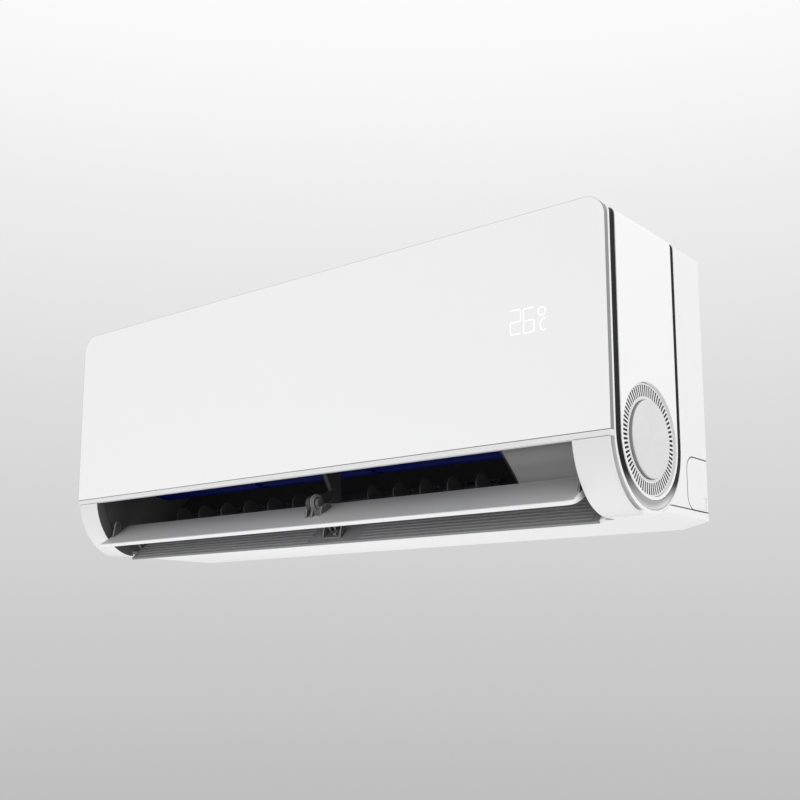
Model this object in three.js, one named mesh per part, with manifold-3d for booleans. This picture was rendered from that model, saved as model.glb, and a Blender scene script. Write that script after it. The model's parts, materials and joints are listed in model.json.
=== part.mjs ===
// Indoor unit of a wall-mounted split air conditioner, in millimetres.
// X runs along the wall (+X at the motor end), Y points at the wall, Z up.
// Every piece is drawn from the wall plane (y = 0) and the underside (z = 0).
// The exported group is then lowered, so that its origin lies in the middle
// of the back of the mounting plate. The louvres stand open, as at rest.
import * as THREE from "three";
import { mergeVertices } from "three/addons/utils/BufferGeometryUtils.js";
import Module from "manifold-3d";

const wasm = await Module();
wasm.setup();

// ---- Whole unit ----
const panelWidth = 900;
const unitDepth = 235;
const casingTop = 328;
const sideReveal = 2.5; // casing side inside the panel side
const seat = 0.3; // gap between pieces that rest on each other
const fit = 0.4; // gap around a piece that drops into a cut-out
const wall = 2.5; // moulded wall
const frontY = -unitDepth;
const casingHalf = panelWidth / 2 - sideReveal;

// ---- Front panel ----
const panelThickness = 11;
const panelEdge = 6.6; // depth of the panel's edge that shows from the side
const panelStep = 3; // step of the frame behind that edge
const panelBottom = 82;
const panelRise = 6.6; // how far the panel stands above the casing
const panelCorner = 24;
const panelLip = 0.8; // frame edge shown round the skin
const skinThickness = 2.5;
const framePlate = 3.2;
const frameRim = 12;
const trimHeight = 7;
const hingeLift = 3.5; // hinge line above the casing top
const hingeInset = 4.3; // hinge line behind the panel
const hingeX = 300;
const hingeWidth = 6;
const displaySide = 95; // middle of the display inside the panel's edge
const knuckleRadius = 2.9;
const hingePinRadius = 1.5;

// ---- Casing and its side channel ----
const topRound = 9;
const topWall = 3;
const sideWall = 6.5;
const frameDepth = 4; // front frame behind the panel
const windowSide = 47;
const windowLow = 100;
const windowHigh = casingTop - 18;
const channelFront = frontY + 15;
const channelRear = -68.5;
const channelDrop = 77;
const lipDrop = 81;
const pillFront = frontY + 26;
const pillRear = -77;
const pillDrop = 66;
const uCentreZ = 84;
const recessDepth = 4.4;
const channelThickness = 2;
const channelLeg = 1.2; // upright edges of the channel trim
const channelSunk = 0.1;
const pillProud = 0.9;

// ---- Side vent ----
const ventBorder = 4; // from the ring to the edge of the raised cover
const ventRadius = (pillRear - pillFront) / 2 - ventBorder;
const ventHub = ventRadius - 19;
const ventSlotInner = ventRadius - 14.5;
const ventSlotOuter = ventRadius - 2;
const ventSpoke = 8; // casing left between the openings behind the ring
const ventSlots = 70;
const ventSlotWidth = 2.3;
const ventRingThickness = 1.6;
const ventDiscThickness = 6.2;

// ---- Lower front skin ----
const drumRadius = 92;
const toeRadius = 64.5;
const kneeAngle = 225; // where the two arcs of the skin meet
const outletSide = 43.5; // casing side to the end of the outlet
const outletHalf = casingHalf - outletSide;
const capFillet = 2.5;
const capRim = 14; // width of the rim round the outlet's end
const cheekInset = 11; // cheeks stand inside the skin, behind that rim
const capRear = frontY + 70;
const baseFront = frontY + 89.4; // clear of the lower flap's swing
const baseSlope = 4.3;
const seamHeight = 17;
const seamGap = 0.7;
const baseChamferRun = 32.5;
const baseChamferX = casingHalf - baseChamferRun;
const baseChamferZ = 7.8;
const baseLip = 3.8;

// ---- Rear chassis and wall plate ----
const backWallFront = -8;
const pipeDepth = 55;
const pipeLow = 20;
const pipeHigh = 78;
const plateHalf = 330;
const plateLow = 116;
const plateHigh = 276;
const plateThickness = 1.5;
const plateRecess = 4.6;
const hookX = 240;
const hookWidth = 40;
const hookRise = 9;
const coverDepth = 54;
const coverHigh = 78;
const coverCorner = 16;
const coverGap = 0.8;

// ---- Air duct and fan ----
const cheekX = outletHalf + 3;
const bayWidth = 156;
const bayX = cheekX - bayWidth; // wall between the fan and the motor bay
const fanY = frontY + 130;
const fanZ = 144;
const fanRadius = 52;
const fanLeft = 4 - cheekX;
const fanRight = bayX - 5;
const fanBladeCount = 26;
const bladeInner = 39;
const bladeThickness = 1.6;
const bladeLead = 16; // degrees that a blade leans round the axis
const discThickness = 2.4;
const scrollGap = 5;
const scrollGrowth = 9;
const scrollTop = 30; // degrees above the horizontal through the fan
const scrollEnd = -40;
const floorFrontY = frontY + 94.5;
const floorFrontZ = 5.6;
const tongueGap = 3.4;
const tongueAngle = 223;
const shaftRadius = 4;
const shaftClearance = 0.5;
const motorX = bayX + 13;
const motorLength = 62;
const motorRadius = 36;
const bearingRadius = 12;

// ---- Louvres ----
const splitAngle = 228.8; // where the closed flaps meet on the skin
const flapEdge = 4.2;
const flapTail = 3;
const flapGap = 1.7; // from the lower flap's tail to the base
const flapRound = 3;
const upperFlapLeft = outletHalf - 0.8;
const upperFlapRight = outletHalf - 6;
const lowerFlapLeft = outletHalf - 12;
const lowerFlapRight = outletHalf - 2;
const flapRelief = 0.6; // degrees that the inner corner stays back when shut
const upperPivotY = frontY + 33;
const upperPivotZ = 44;
const upperOpen = 96;
const lowerPivotY = frontY + 64.7;
const lowerPivotZ = 29.8;
const lowerOpen = 60;
const armHead = 5;
const armThickness = 3;
const upperArmX = outletHalf - 9.5;
const lowerArmX = outletHalf - 15.5;
const pinRadius = 2.4;
const pinFit = 0.5;
const pinEnd = cheekX + 4;
const bracketX = 2;
const bracketThickness = 6;
const bracketHead = 10;
const lugThickness = 3;
const flapMotorRadius = 14;
const flapMotorLength = 18;

// ---- Swing vanes, on the duct floor ----
const vaneLeftFirst = 71.6 - cheekX;
const vaneLeftLast = -44.4;
const vaneLeftCount = 7;
const vaneRightFirst = 43;
const vaneRightLast = bayX - 36;
const vaneRightCount = 5;
const vaneLeftPitch = (vaneLeftLast - vaneLeftFirst) / (vaneLeftCount - 1);
const vaneRightPitch = (vaneRightLast - vaneRightFirst) / (vaneRightCount - 1);
const vaneRun = 50; // up the floor from its front edge to the vane pivots
const vaneHalf = 14;
const vaneHeight = 38;
const vaneThickness = 1.6;
const vaneLift = 1;
const vanePinRadius = 2;
const crankReach = 22;
const crankPinRadius = 1.4;
const linkLow = 8;
const linkThickness = 2;
const linkSlack = 0.8;
const vaneSwing = 30;

// ---- Evaporator ----
const evaporatorLeft = 13 - cheekX;
const evaporatorRight = bayX - 10;
const slabTopZ = casingTop - 31;
const slabThickness = 27;
const sheetThickness = 1.5;
const tubeRadius = 3.5;
const bendRadius = 5.4;
const panFloor = 98.9;
const pipeDropX = bayX + 73;
const pipeRunZ = 48;
const gasPipeY = -30;
const liquidPipeY = -46.5;

// ---- Control box ----
const boxLeft = casingHalf - 91.5;
const boxFront = frontY + 45;
const boxRear = boxFront + 90;
const boxLow = 112;
const boxHigh = casingTop - 32;
const boxWall = 2;

// ---- Air filters ----
const filterInner = 10;
const filterOuter = casingHalf - 42.5;
const filterFront = frontY + 30;
const filterRear = filterFront + 120;
const filterFlange = 4;
const filterSkirt = 6;

// ---- Worked out from the sizes above ----
const panelBack = frontY + panelThickness;
const panelTop = casingTop + panelRise;
const casingFront = panelBack + seat;
const innerSide = casingHalf - sideWall;
const drumY = frontY + drumRadius;
const toeRise = (drumRadius - toeRadius) * Math.SQRT1_2;
const drumZ = toeRadius + toeRise;
const toeY = drumY - toeRise;
const trimLow = panelBottom - trimHeight;
const capTop = trimLow - fit;
const mountHeight = (plateLow + plateHigh) / 2;
const scrollFoot = scrollPoint(scrollEnd, 0);
const floorAngle = Math.atan2(scrollFoot[1] - floorFrontZ, scrollFoot[0] - floorFrontY);
const vaneX = [
  ...Array.from({ length: vaneLeftCount }, (_, i) => vaneLeftFirst + i * vaneLeftPitch),
  ...Array.from({ length: vaneRightCount }, (_, i) => vaneRightFirst + i * vaneRightPitch),
];
const leadVane = vaneLeftCount + Math.floor(vaneRightCount / 2);

// ---- Shape helpers ----
function radians(degrees) {
  return THREE.MathUtils.degToRad(degrees);
}

// A closed geometry as a solid that can be joined and cut.
function solidOf(geometry) {
  const bare = geometry.clone();
  bare.deleteAttribute("normal");
  bare.deleteAttribute("uv");
  const merged = mergeVertices(bare, 1e-4);
  return new wasm.Manifold(
    new wasm.Mesh({
      numProp: 3,
      vertProperties: merged.attributes.position.array,
      triVerts: new Uint32Array(merged.index.array),
    }),
  );
}

function geometryOf(solid) {
  const mesh = solid.getMesh();
  const geometry = new THREE.BufferGeometry();
  geometry.setAttribute("position", new THREE.BufferAttribute(mesh.vertProperties, 3));
  geometry.setIndex(new THREE.BufferAttribute(mesh.triVerts, 1));
  geometry.computeVertexNormals();
  return geometry;
}

function join(...solids) {
  return solids.reduce((sum, next) => sum.add(next));
}

// Extrude an outline; the matrix turns its two axes and the depth to X, Y, Z.
function prism(outline, low, high, basis) {
  const shape = new THREE.Shape(outline.map(([a, b]) => new THREE.Vector2(a, b)));
  const geometry = new THREE.ExtrudeGeometry(shape, {
    depth: high - low,
    bevelEnabled: false,
  });
  geometry.translate(0, 0, low);
  geometry.applyMatrix4(basis);
  return solidOf(geometry);
}

const unitX = new THREE.Vector3(1, 0, 0);
const unitY = new THREE.Vector3(0, 1, 0);
const unitZ = new THREE.Vector3(0, 0, 1);
const yzToX = new THREE.Matrix4().makeBasis(unitY, unitZ, unitX);
const zxToY = new THREE.Matrix4().makeBasis(unitZ, unitX, unitY);

// Outlines are [y, z] along X, [x, z] along Y and [x, y] along Z.
function alongX(outline, low, high) {
  return prism(outline, low, high, yzToX);
}

function alongY(outline, low, high) {
  const turned = outline.map(([x, z]) => [z, x]);
  return prism(turned, low, high, zxToY);
}

function alongZ(outline, low, high) {
  return prism(outline, low, high, new THREE.Matrix4());
}

function box(x0, x1, y0, y1, z0, z1) {
  const geometry = new THREE.BoxGeometry(x1 - x0, y1 - y0, z1 - z0);
  geometry.translate((x0 + x1) / 2, (y0 + y1) / 2, (z0 + z1) / 2);
  return solidOf(geometry);
}

function arc(a, b, radius, from, to, steps) {
  return Array.from({ length: steps + 1 }, (_, i) => {
    const angle = radians(from + ((to - from) * i) / steps);
    return [a + radius * Math.cos(angle), b + radius * Math.sin(angle)];
  });
}

function circle(a, b, radius, sides) {
  return arc(a, b, radius, 0, 360, sides).slice(0, -1);
}

function rodX(y, z, radius, low, high, sides = 16) {
  return alongX(circle(y, z, radius, sides), low, high);
}

// The outline round a set of points, walked anticlockwise.
function hull(points) {
  const sorted = [...points].sort((p, q) => p[0] - q[0] || p[1] - q[1]);
  const turn = (o, p, q) => (p[0] - o[0]) * (q[1] - o[1]) - (p[1] - o[1]) * (q[0] - o[0]);
  const chain = (list) => {
    const kept = [];
    for (const point of list) {
      while (kept.length > 1 && turn(kept.at(-2), kept.at(-1), point) <= 0) kept.pop();
      kept.push(point);
    }
    return kept.slice(0, -1);
  };
  return [...chain(sorted), ...chain(sorted.reverse())];
}

// A line moved to its left (negative: to its right).
function shifted(line, distance) {
  const normals = line.slice(1).map(([a, b], i) => {
    const run = Math.hypot(a - line[i][0], b - line[i][1]);
    return [(line[i][1] - b) / run, (a - line[i][0]) / run];
  });
  return line.map(([a, b], i) => {
    const before = normals[Math.max(i - 1, 0)];
    const after = normals[Math.min(i, normals.length - 1)];
    const sum = [before[0] + after[0], before[1] + after[1]];
    const scale = (2 * distance) / (sum[0] ** 2 + sum[1] ** 2);
    return [a + sum[0] * scale, b + sum[1] * scale];
  });
}

function band(line, thickness) {
  return [...line, ...shifted(line, thickness).reverse()];
}

// A skin over outlines of equal point count, each at its own x.
function loftX(sections) {
  const count = sections[0].outline.length;
  const contour = sections[0].outline.map(([a, b]) => new THREE.Vector2(a, b));
  const flip = THREE.ShapeUtils.isClockWise(contour);
  const position = sections.flatMap(({ x, outline }) => outline.flatMap(([y, z]) => [x, y, z]));
  const index = [];
  const face = (a, b, c) => index.push(...(flip ? [a, c, b] : [a, b, c]));
  for (let i = 0; i + 1 < sections.length; i++) {
    for (let j = 0; j < count; j++) {
      const a = i * count + j;
      const b = i * count + ((j + 1) % count);
      face(a, b, b + count);
      face(a, b + count, a + count);
    }
  }
  [0, sections.length - 1].forEach((i) => {
    const points = sections[i].outline.map(([a, b]) => new THREE.Vector2(a, b));
    for (const [a, b, c] of THREE.ShapeUtils.triangulateShape(points, [])) {
      const area = (points[b].x - points[a].x) * (points[c].y - points[a].y)
        - (points[b].y - points[a].y) * (points[c].x - points[a].x);
      const facesUp = area > 0;
      const base = i * count;
      const out = facesUp === (i > 0) ? [a, b, c] : [a, c, b];
      index.push(...out.map((k) => k + base));
    }
  });
  const geometry = new THREE.BufferGeometry();
  geometry.setAttribute("position", new THREE.Float32BufferAttribute(position, 3));
  geometry.setIndex(index);
  return solidOf(geometry);
}

// A round bar along a path.
function bar(points, radius, sides, steps) {
  const path = new THREE.CatmullRomCurve3(points.map((p) => new THREE.Vector3(...p)));
  const shape = new THREE.Shape(circle(0, 0, radius, sides).map((p) => new THREE.Vector2(...p)));
  return solidOf(new THREE.ExtrudeGeometry(shape, { extrudePath: path, steps }));
}

// ---- Shared outlines ----
// The skin of the lower front: one arc down the front, a tighter one under it.
function skinPoint(angle, inset) {
  const onDrum = angle < kneeAngle;
  const radius = (onDrum ? drumRadius : toeRadius) - inset;
  const y = onDrum ? drumY : toeY;
  const z = onDrum ? drumZ : toeRadius;
  return [y + radius * Math.cos(radians(angle)), z + radius * Math.sin(radians(angle))];
}

function skinRun(from, to, inset, steps) {
  return Array.from({ length: steps + 1 }, (_, i) =>
    skinPoint(from + ((to - from) * i) / steps, inset));
}

function skinAngleAt(z) {
  return 180 + THREE.MathUtils.radToDeg(Math.asin((drumZ - z) / drumRadius));
}

// Casing seen from the front, grown outwards, with round top corners.
function bodyBlock(grow, y0, y1, low) {
  const half = casingHalf + grow;
  const top = casingTop + grow;
  const round = topRound + grow;
  const outline = [
    [-half, low],
    [half, low],
    ...arc(half - round, top - round, round, 0, 90, 4),
    ...arc(round - half, top - round, round, 90, 180, 4),
  ];
  return alongY(outline, y0, y1);
}

// The U of the side view: straight sides, a half-ellipse below.
function tongue(front, rear, drop, top) {
  const steps = 20;
  const middle = (front + rear) / 2;
  const half = (rear - front) / 2;
  const below = Array.from({ length: steps + 1 }, (_, i) => {
    const angle = Math.PI + (Math.PI * i) / steps;
    return [middle + half * Math.cos(angle), uCentreZ + drop * Math.sin(angle)];
  });
  return [[front, top], ...below, [rear, top]];
}

const aboveTop = casingTop + 20;
const beyondSide = casingHalf + 20;

const ventY = (pillFront + pillRear) / 2;

function lipOutline(clear) {
  return tongue(casingFront - clear, channelRear + clear, lipDrop + clear, aboveTop);
}

// Distance of the scroll from the fan axis grows as it runs down to the floor.
function scrollPoint(angle, outward) {
  const share = (scrollTop - angle) / (scrollTop - scrollEnd);
  const radius = fanRadius + scrollGap + scrollGrowth * share + outward;
  return [fanY + radius * Math.cos(radians(angle)), fanZ + radius * Math.sin(radians(angle))];
}

// Duct line seen from the side: floor front edge, floor, scroll, riser.
const troughHigh = 195.2;
const ductLine = [
  [floorFrontY, floorFrontZ],
  ...Array.from({ length: 8 }, (_, i) =>
    scrollPoint(scrollEnd + ((scrollTop - scrollEnd) * i) / 7, 0)),
  [scrollPoint(scrollTop, 0)[0] - wall, troughHigh + 8],
];

const tongueTip = [
  fanY + (fanRadius + tongueGap) * Math.cos(radians(tongueAngle)),
  fanZ + (fanRadius + tongueGap) * Math.sin(radians(tongueAngle)),
];

// The duct's ceiling rises from the panel trim to the tongue.
const ceilingFront = [casingFront + frameDepth + fit, panelBottom];
const ceilingRear = [tongueTip[0] - 6.5, tongueTip[1] - 9.5];

// Line of the panel that closes the outlet in front of the motor bay.
const floorDirection = [Math.cos(floorAngle), Math.sin(floorAngle)];
const bayFoot = [floorFrontY + 58 * floorDirection[0], floorFrontZ + 58 * floorDirection[1]];
const bayTop = [ceilingRear[0] + 10, ceilingRear[1] - 3];
const bayRise = [0, 0.25, 0.5, 0.75, 1].map((share) => {
  const low = [bayFoot[0], bayFoot[1] + 8];
  const sag = 2.4 * share * (1 - share);
  return [
    low[0] + (bayTop[0] - low[0]) * share + sag,
    low[1] + (bayTop[1] - low[1]) * share + sag,
  ];
});
const bayLine = [
  [floorFrontY, floorFrontZ],
  bayFoot,
  ...bayRise,
  [ceilingRear[0] - 2, ceilingRear[1]],
  [ceilingFront[0] + 1, ceilingFront[1]],
];

// ---- Materials ----
function finish(color, roughness, metalness = 0) {
  return new THREE.MeshStandardMaterial({ color, roughness, metalness });
}

const gloss = finish(0xf6f6f7, 0.18);
const white = finish(0xefeff0, 0.35);
const chassisWhite = finish(0xe9e9ea, 0.45);
const edgeGrey = finish(0x7d7e80, 0.4, 0.3);
const brightTrim = finish(0xd9dadc, 0.25, 0.7);
const channelMetal = finish(0x4a4b4d, 0.3, 0.8);
const discSilver = finish(0xe2e2e3, 0.3, 0.4);
const ductDark = finish(0x232324, 0.6);
const bayGrey = finish(0x77787a, 0.5);
const flapGrey = finish(0x96979a, 0.45);
const ribGrey = finish(0x5f6062, 0.5);
const fanBlue = finish(0x0a1c5c, 0.4);
const steel = finish(0xa9acb0, 0.35, 0.9);
const zinc = finish(0xb8bcc0, 0.4, 0.85);
const finAluminium = finish(0xc9cdd1, 0.45, 0.8);
const copper = finish(0xb4693f, 0.35, 0.9);
const rubber = finish(0x1c1c1c, 0.8);
const motorBlack = finish(0x2b2c2e, 0.5);
const boardGreen = finish(0x1f6b3a, 0.5);
const boxGrey = finish(0xb9bbbd, 0.5);
const filterDark = finish(0x3a3b3d, 0.6);

// ---- Front panel ----
function roundedPanel(half, low, high, corner) {
  return [
    [-half, low],
    [half, low],
    ...arc(half - corner, high - corner, corner, 0, 90, 10),
    ...arc(corner - half, high - corner, corner, 90, 180, 10),
  ];
}

function frontPanel() {
  const outline = roundedPanel(
    panelWidth / 2 - panelLip,
    panelBottom + panelLip,
    panelTop - panelLip,
    panelCorner - panelLip,
  );
  return alongY(outline, frontY, frontY + skinThickness);
}

function panelFrame() {
  const half = panelWidth / 2;
  const skinRoom = panelLip - fit / 2;
  const edge = alongY(
    roundedPanel(half, panelBottom, panelTop, panelCorner),
    frontY,
    frontY + panelEdge,
  );
  const core = roundedPanel(
    half - panelStep,
    panelBottom + panelStep,
    panelTop - panelStep,
    panelCorner - panelStep,
  );
  const block = edge.add(alongY(core, frontY + panelEdge - 1, panelBack));
  const front = roundedPanel(
    half - skinRoom,
    panelBottom + skinRoom,
    panelTop - skinRoom,
    panelCorner - skinRoom,
  );
  const plateFront = frontY + skinThickness + seat;
  const plateBack = plateFront + framePlate;
  const pocket = box(
    frameRim - half,
    half - frameRim,
    plateBack,
    panelBack + 1,
    panelBottom + frameRim,
    panelTop - frameRim - panelCorner / 2,
  );
  const ears = [-1, 1].map((side) => hingeEar(side));
  return join(
    block.subtract(alongY(front, frontY - 1, plateFront)).subtract(pocket),
    ...ears,
  );
}

const hingeY = panelBack + hingeInset;
const hingeZ = casingTop + hingeLift;

// An ear on the panel frame, with the pin that enters the casing's knuckle.
function hingeEar(side) {
  const near = hingeX + hingeWidth + fit;
  const far = near + hingeWidth;
  const outline = hull([
    ...circle(hingeY, hingeZ, knuckleRadius, 12),
    [panelBack - 1, hingeZ - knuckleRadius],
    [panelBack - 1, hingeZ + knuckleRadius - 1],
  ]);
  const span = side > 0 ? [near, far] : [-far, -near];
  const pin = side > 0 ? [hingeX, near + 1] : [-near - 1, -hingeX];
  return join(alongX(outline, ...span), rodX(hingeY, hingeZ, hingePinRadius, ...pin, 12));
}

function panelTrim() {
  const half = panelWidth / 2;
  const low = trimLow;
  const high = panelBottom - seat;
  const back = frontY + panelEdge;
  const outline = [
    [back, low],
    [back, high],
    [frontY + 0.6, high],
    [frontY, high - 0.8],
    [frontY + 0.5, low + 0.8],
    [frontY + 2, low],
  ];
  return alongX(outline, -half, half);
}

function displayBoard() {
  const plateBack = frontY + skinThickness + seat + framePlate;
  const x = panelWidth / 2 - displaySide;
  const board = box(x - 33, x + 33, plateBack + 3.2, plateBack + 4.8, 192, 234);
  const lens = box(x - 26, x + 24, plateBack + seat, plateBack + 3.4, 197, 229);
  const plug = box(x - 15, x - 3, plateBack + 4.6, plateBack + 8.4, 206, 220);
  return join(board, lens, plug);
}

// ---- Casing ----
function sideRecess() {
  const room = tongue(channelFront, channelRear + 1, channelDrop, aboveTop);
  const shell = bodyBlock(10, casingFront - 10, channelRear + 10, -40)
    .subtract(bodyBlock(-recessDepth, casingFront - 20, channelRear + 20, -60));
  const ends = join(
    alongX(room, innerSide - 20, beyondSide),
    alongX(room, -beyondSide, 20 - innerSide),
  );
  return shell.intersect(ends);
}

function casingKnuckle(x0, x1) {
  const outline = hull([
    ...circle(hingeY, hingeZ, knuckleRadius, 12),
    [hingeY - knuckleRadius, casingTop - 1],
    [hingeY + knuckleRadius, casingTop - 1],
  ]);
  const bore = rodX(hingeY, hingeZ, hingePinRadius + fit, x0 - 1, x1 + 1, 12);
  return alongX(outline, x0, x1).subtract(bore);
}

// Openings behind the vent ring, with spokes left between them.
function ventOpenings() {
  const ring = (radius) =>
    rodX(ventY, uCentreZ, radius, innerSide - 3, beyondSide, 48);
  const spokes = [45, 135].map((angle) => {
    const [y, z] = [Math.cos(radians(angle)), Math.sin(radians(angle))];
    const corner = (along, across) => [
      ventY + y * along - z * across,
      uCentreZ + z * along + y * across,
    ];
    const reach = ventRadius + 5;
    const half = ventSpoke / 2;
    return alongX(
      [corner(-reach, -half), corner(reach, -half), corner(reach, half), corner(-reach, half)],
      innerSide - 5,
      beyondSide + 5,
    );
  });
  return ring(ventSlotOuter + seat).subtract(ring(ventSlotInner - seat)).subtract(join(...spokes));
}

function frontCasing() {
  const shape = bodyBlock(0, casingFront, channelRear, -20)
    .intersect(alongX(lipOutline(0), -beyondSide, beyondSide));
  const inside = box(
    -innerSide,
    innerSide,
    casingFront + frameDepth,
    channelRear + 20,
    -40,
    casingTop - topWall,
  );
  const below = box(-innerSide, innerSide, casingFront - 20, channelRear, -40, uCentreZ);
  const window = box(
    windowSide - casingHalf,
    casingHalf - windowSide,
    casingFront - 5,
    casingFront + frameDepth + 5,
    windowLow,
    windowHigh,
  );
  const vents = ventOpenings();
  let casing = shape
    .subtract(inside)
    .subtract(below)
    .subtract(window)
    .subtract(sideRecess())
    .subtract(vents)
    .subtract(vents.mirror([1, 0, 0]));
  for (const side of [-1, 1]) {
    const inner = side > 0 ? filterInner : -filterOuter;
    const outer = side > 0 ? filterOuter : -filterInner;
    const opening = box(inner, outer, filterFront, filterRear, casingTop - 20, casingTop + 5);
    const rebate = box(
      inner - filterFlange,
      outer + filterFlange,
      filterFront - filterFlange,
      filterRear + filterFlange,
      casingTop - topWall / 2,
      casingTop + 5,
    );
    const knuckle = side > 0 ? [hingeX - 1, hingeX + hingeWidth] : [-hingeX - hingeWidth, 1 - hingeX];
    casing = casing.subtract(opening).subtract(rebate).add(casingKnuckle(...knuckle));
  }
  return casing;
}

// The dark trim that lines the channel round the raised side cover.
function channelTrim() {
  const outer = tongue(channelFront + fit / 2, channelRear - fit / 2, channelDrop - fit / 2, aboveTop);
  const inner = tongue(pillFront - fit / 2, pillRear + fit / 2, pillDrop + fit / 2, aboveTop + 5);
  const low = -recessDepth + seat;
  const shell = bodyBlock(-channelSunk, casingFront, channelRear, -40)
    .subtract(bodyBlock(low, casingFront - 5, channelRear + 5, -60));
  const start = innerSide - 12;
  const leg = fit / 2 + channelLeg;
  const trough = tongue(channelFront + leg, channelRear - leg, channelDrop - leg, aboveTop + 5);
  const island = tongue(pillFront - leg, pillRear + leg, pillDrop + leg, aboveTop + 10);
  const hollow = alongX(trough, start - 5, beyondSide + 5)
    .subtract(alongX(island, start - 10, beyondSide + 10))
    .subtract(bodyBlock(low + channelThickness, casingFront - 5, channelRear + 5, -60));
  return shell
    .intersect(alongX(outer, start, beyondSide))
    .subtract(alongX(inner, start - 5, beyondSide + 5))
    .subtract(hollow);
}

function pillCover() {
  const outline = tongue(pillFront, pillRear, pillDrop, aboveTop);
  const shell = bodyBlock(pillProud, casingFront, channelRear, -40)
    .subtract(bodyBlock(-recessDepth + seat, casingFront - 5, channelRear + 5, -60));
  const hole = rodX(ventY, uCentreZ, ventRadius + fit, innerSide - 30, beyondSide + 5, 48);
  return shell.intersect(alongX(outline, innerSide - 12, beyondSide)).subtract(hole);
}

const ventFloor = casingHalf - recessDepth + seat;

// Flat ring, turned about the side-to-side axis, with slots cut through it.
function ventRing() {
  const face = ventFloor + ventRingThickness;
  const profile = [
    [ventHub + fit, ventFloor],
    [ventRadius, ventFloor],
    [ventRadius, face],
    [ventHub + fit, face],
    [ventHub + fit, ventFloor],
  ].map(([r, x]) => new THREE.Vector2(r, x));
  const geometry = new THREE.LatheGeometry(profile, 48);
  geometry.rotateZ(-Math.PI / 2);
  geometry.translate(0, ventY, uCentreZ);
  const ring = solidOf(geometry);
  const slots = Array.from({ length: ventSlots }, (_, i) => {
    const angle = (2 * Math.PI * i) / ventSlots;
    const across = [-Math.sin(angle), Math.cos(angle)];
    const along = [Math.cos(angle), Math.sin(angle)];
    const corner = (r, w) => [
      ventY + along[0] * r + across[0] * w,
      uCentreZ + along[1] * r + across[1] * w,
    ];
    const half = ventSlotWidth / 2;
    return alongX(
      [
        corner(ventSlotInner, -half),
        corner(ventSlotOuter, -half),
        corner(ventSlotOuter, half),
        corner(ventSlotInner, half),
      ],
      ventFloor - 1,
      face + 1,
    );
  });
  return ring.subtract(join(...slots));
}

function ventDisc() {
  const face = ventFloor + ventDiscThickness;
  const profile = [
    [0, ventFloor],
    [ventHub, ventFloor],
    [ventHub, face - 1],
    [ventHub - 1, face],
    [0, face],
  ].map(([r, x]) => new THREE.Vector2(r, x));
  const geometry = new THREE.LatheGeometry(profile, 48);
  geometry.rotateZ(-Math.PI / 2);
  geometry.translate(0, ventY, uCentreZ);
  return solidOf(geometry);
}

// ---- End caps of the outlet ----
function capOutline(inset) {
  const rear = capRear - fit;
  const end = 270 - THREE.MathUtils.radToDeg(Math.asin((toeY - rear) / toeRadius));
  return [...skinRun(skinAngleAt(capTop), end, inset, 15), [rear, capTop]];
}

function endCap() {
  const shares = [0, 0.35, 0.7, 1];
  const fillet = shares.map((share) => {
    const reach = capFillet * share;
    const drop = capFillet - Math.sqrt(capFillet ** 2 - reach ** 2);
    return { x: casingHalf - capFillet + reach, outline: capOutline(drop) };
  });
  const block = loftX([{ x: outletHalf, outline: capOutline(0) }, ...fillet]);
  const rimBack = cheekX - seat;
  const room = [
    ...skinRun(skinAngleAt(capTop) - 4, 270, wall, 9),
    [capRear + 20, wall],
    [capRear + 20, capTop + 30],
    [frontY + 8, capTop + 30],
  ];
  const opening = [
    ...skinRun(skinAngleAt(capTop) - 12, 268, capRim, 7),
    [capRear + 20, capRim - 4],
    [capRear + 20, capTop + 30],
    [frontY + capRim + 2, capTop + 30],
  ];
  return block
    .subtract(alongX(room, rimBack, beyondSide))
    .subtract(alongX(opening, outletHalf - 5, rimBack + 1))
    .subtract(alongX(lipOutline(fit), innerSide - fit, beyondSide));
}

// ---- Bottom cover ----
function bottomCover() {
  const outline = [
    [-casingHalf, baseChamferZ],
    [-baseChamferX, 0],
    [baseChamferX, 0],
    [casingHalf, baseChamferZ],
    [casingHalf, seamHeight],
    [-casingHalf, seamHeight],
  ];
  const block = alongY(outline, capRear, 0);
  const slope = [
    [capRear - 5, -5],
    [baseFront, -5],
    [baseFront, 0],
    [baseFront + baseSlope, baseLip + fit],
    [baseFront + baseSlope, 40],
    [capRear - 5, 40],
  ];
  const mouth = alongX(slope, -outletHalf - fit, outletHalf + fit);
  const trayFront = baseFront + baseSlope + 1.5;
  const cheekRoom = cheekX + 2 * wall;
  const hollow = box(
    wall - casingHalf,
    casingHalf - wall,
    trayFront,
    -wall,
    baseChamferZ + 1,
    seamHeight + 5,
  );
  const floor = box(-baseChamferX, baseChamferX, trayFront, -wall, wall, seamHeight);
  const front = box(-cheekRoom, cheekRoom, capRear - 5, trayFront + 1, baseLip, 40);
  const ends = box(outletHalf - 1, innerSide, capRear - 5, trayFront + 1, baseChamferZ + 1, 40);
  const lips = join(
    alongX(lipOutline(fit), innerSide - fit, beyondSide),
    alongX(lipOutline(fit), -beyondSide, fit - innerSide),
  );
  return block
    .subtract(mouth)
    .subtract(hollow)
    .subtract(floor)
    .subtract(front)
    .subtract(ends)
    .subtract(ends.mirror([1, 0, 0]))
    .subtract(lips);
}

// ---- Rear chassis ----
function coverOutline(clear) {
  const front = -coverDepth - clear;
  const low = seamHeight + coverGap - clear;
  const high = coverHigh + clear;
  const round = coverCorner + clear;
  return [
    [-fit + clear, low],
    [-fit + clear, high],
    ...arc(front + round, high - round, round, 90, 180, 5),
    ...arc(front + round, low + round, round, 180, 270, 5),
  ];
}

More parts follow.
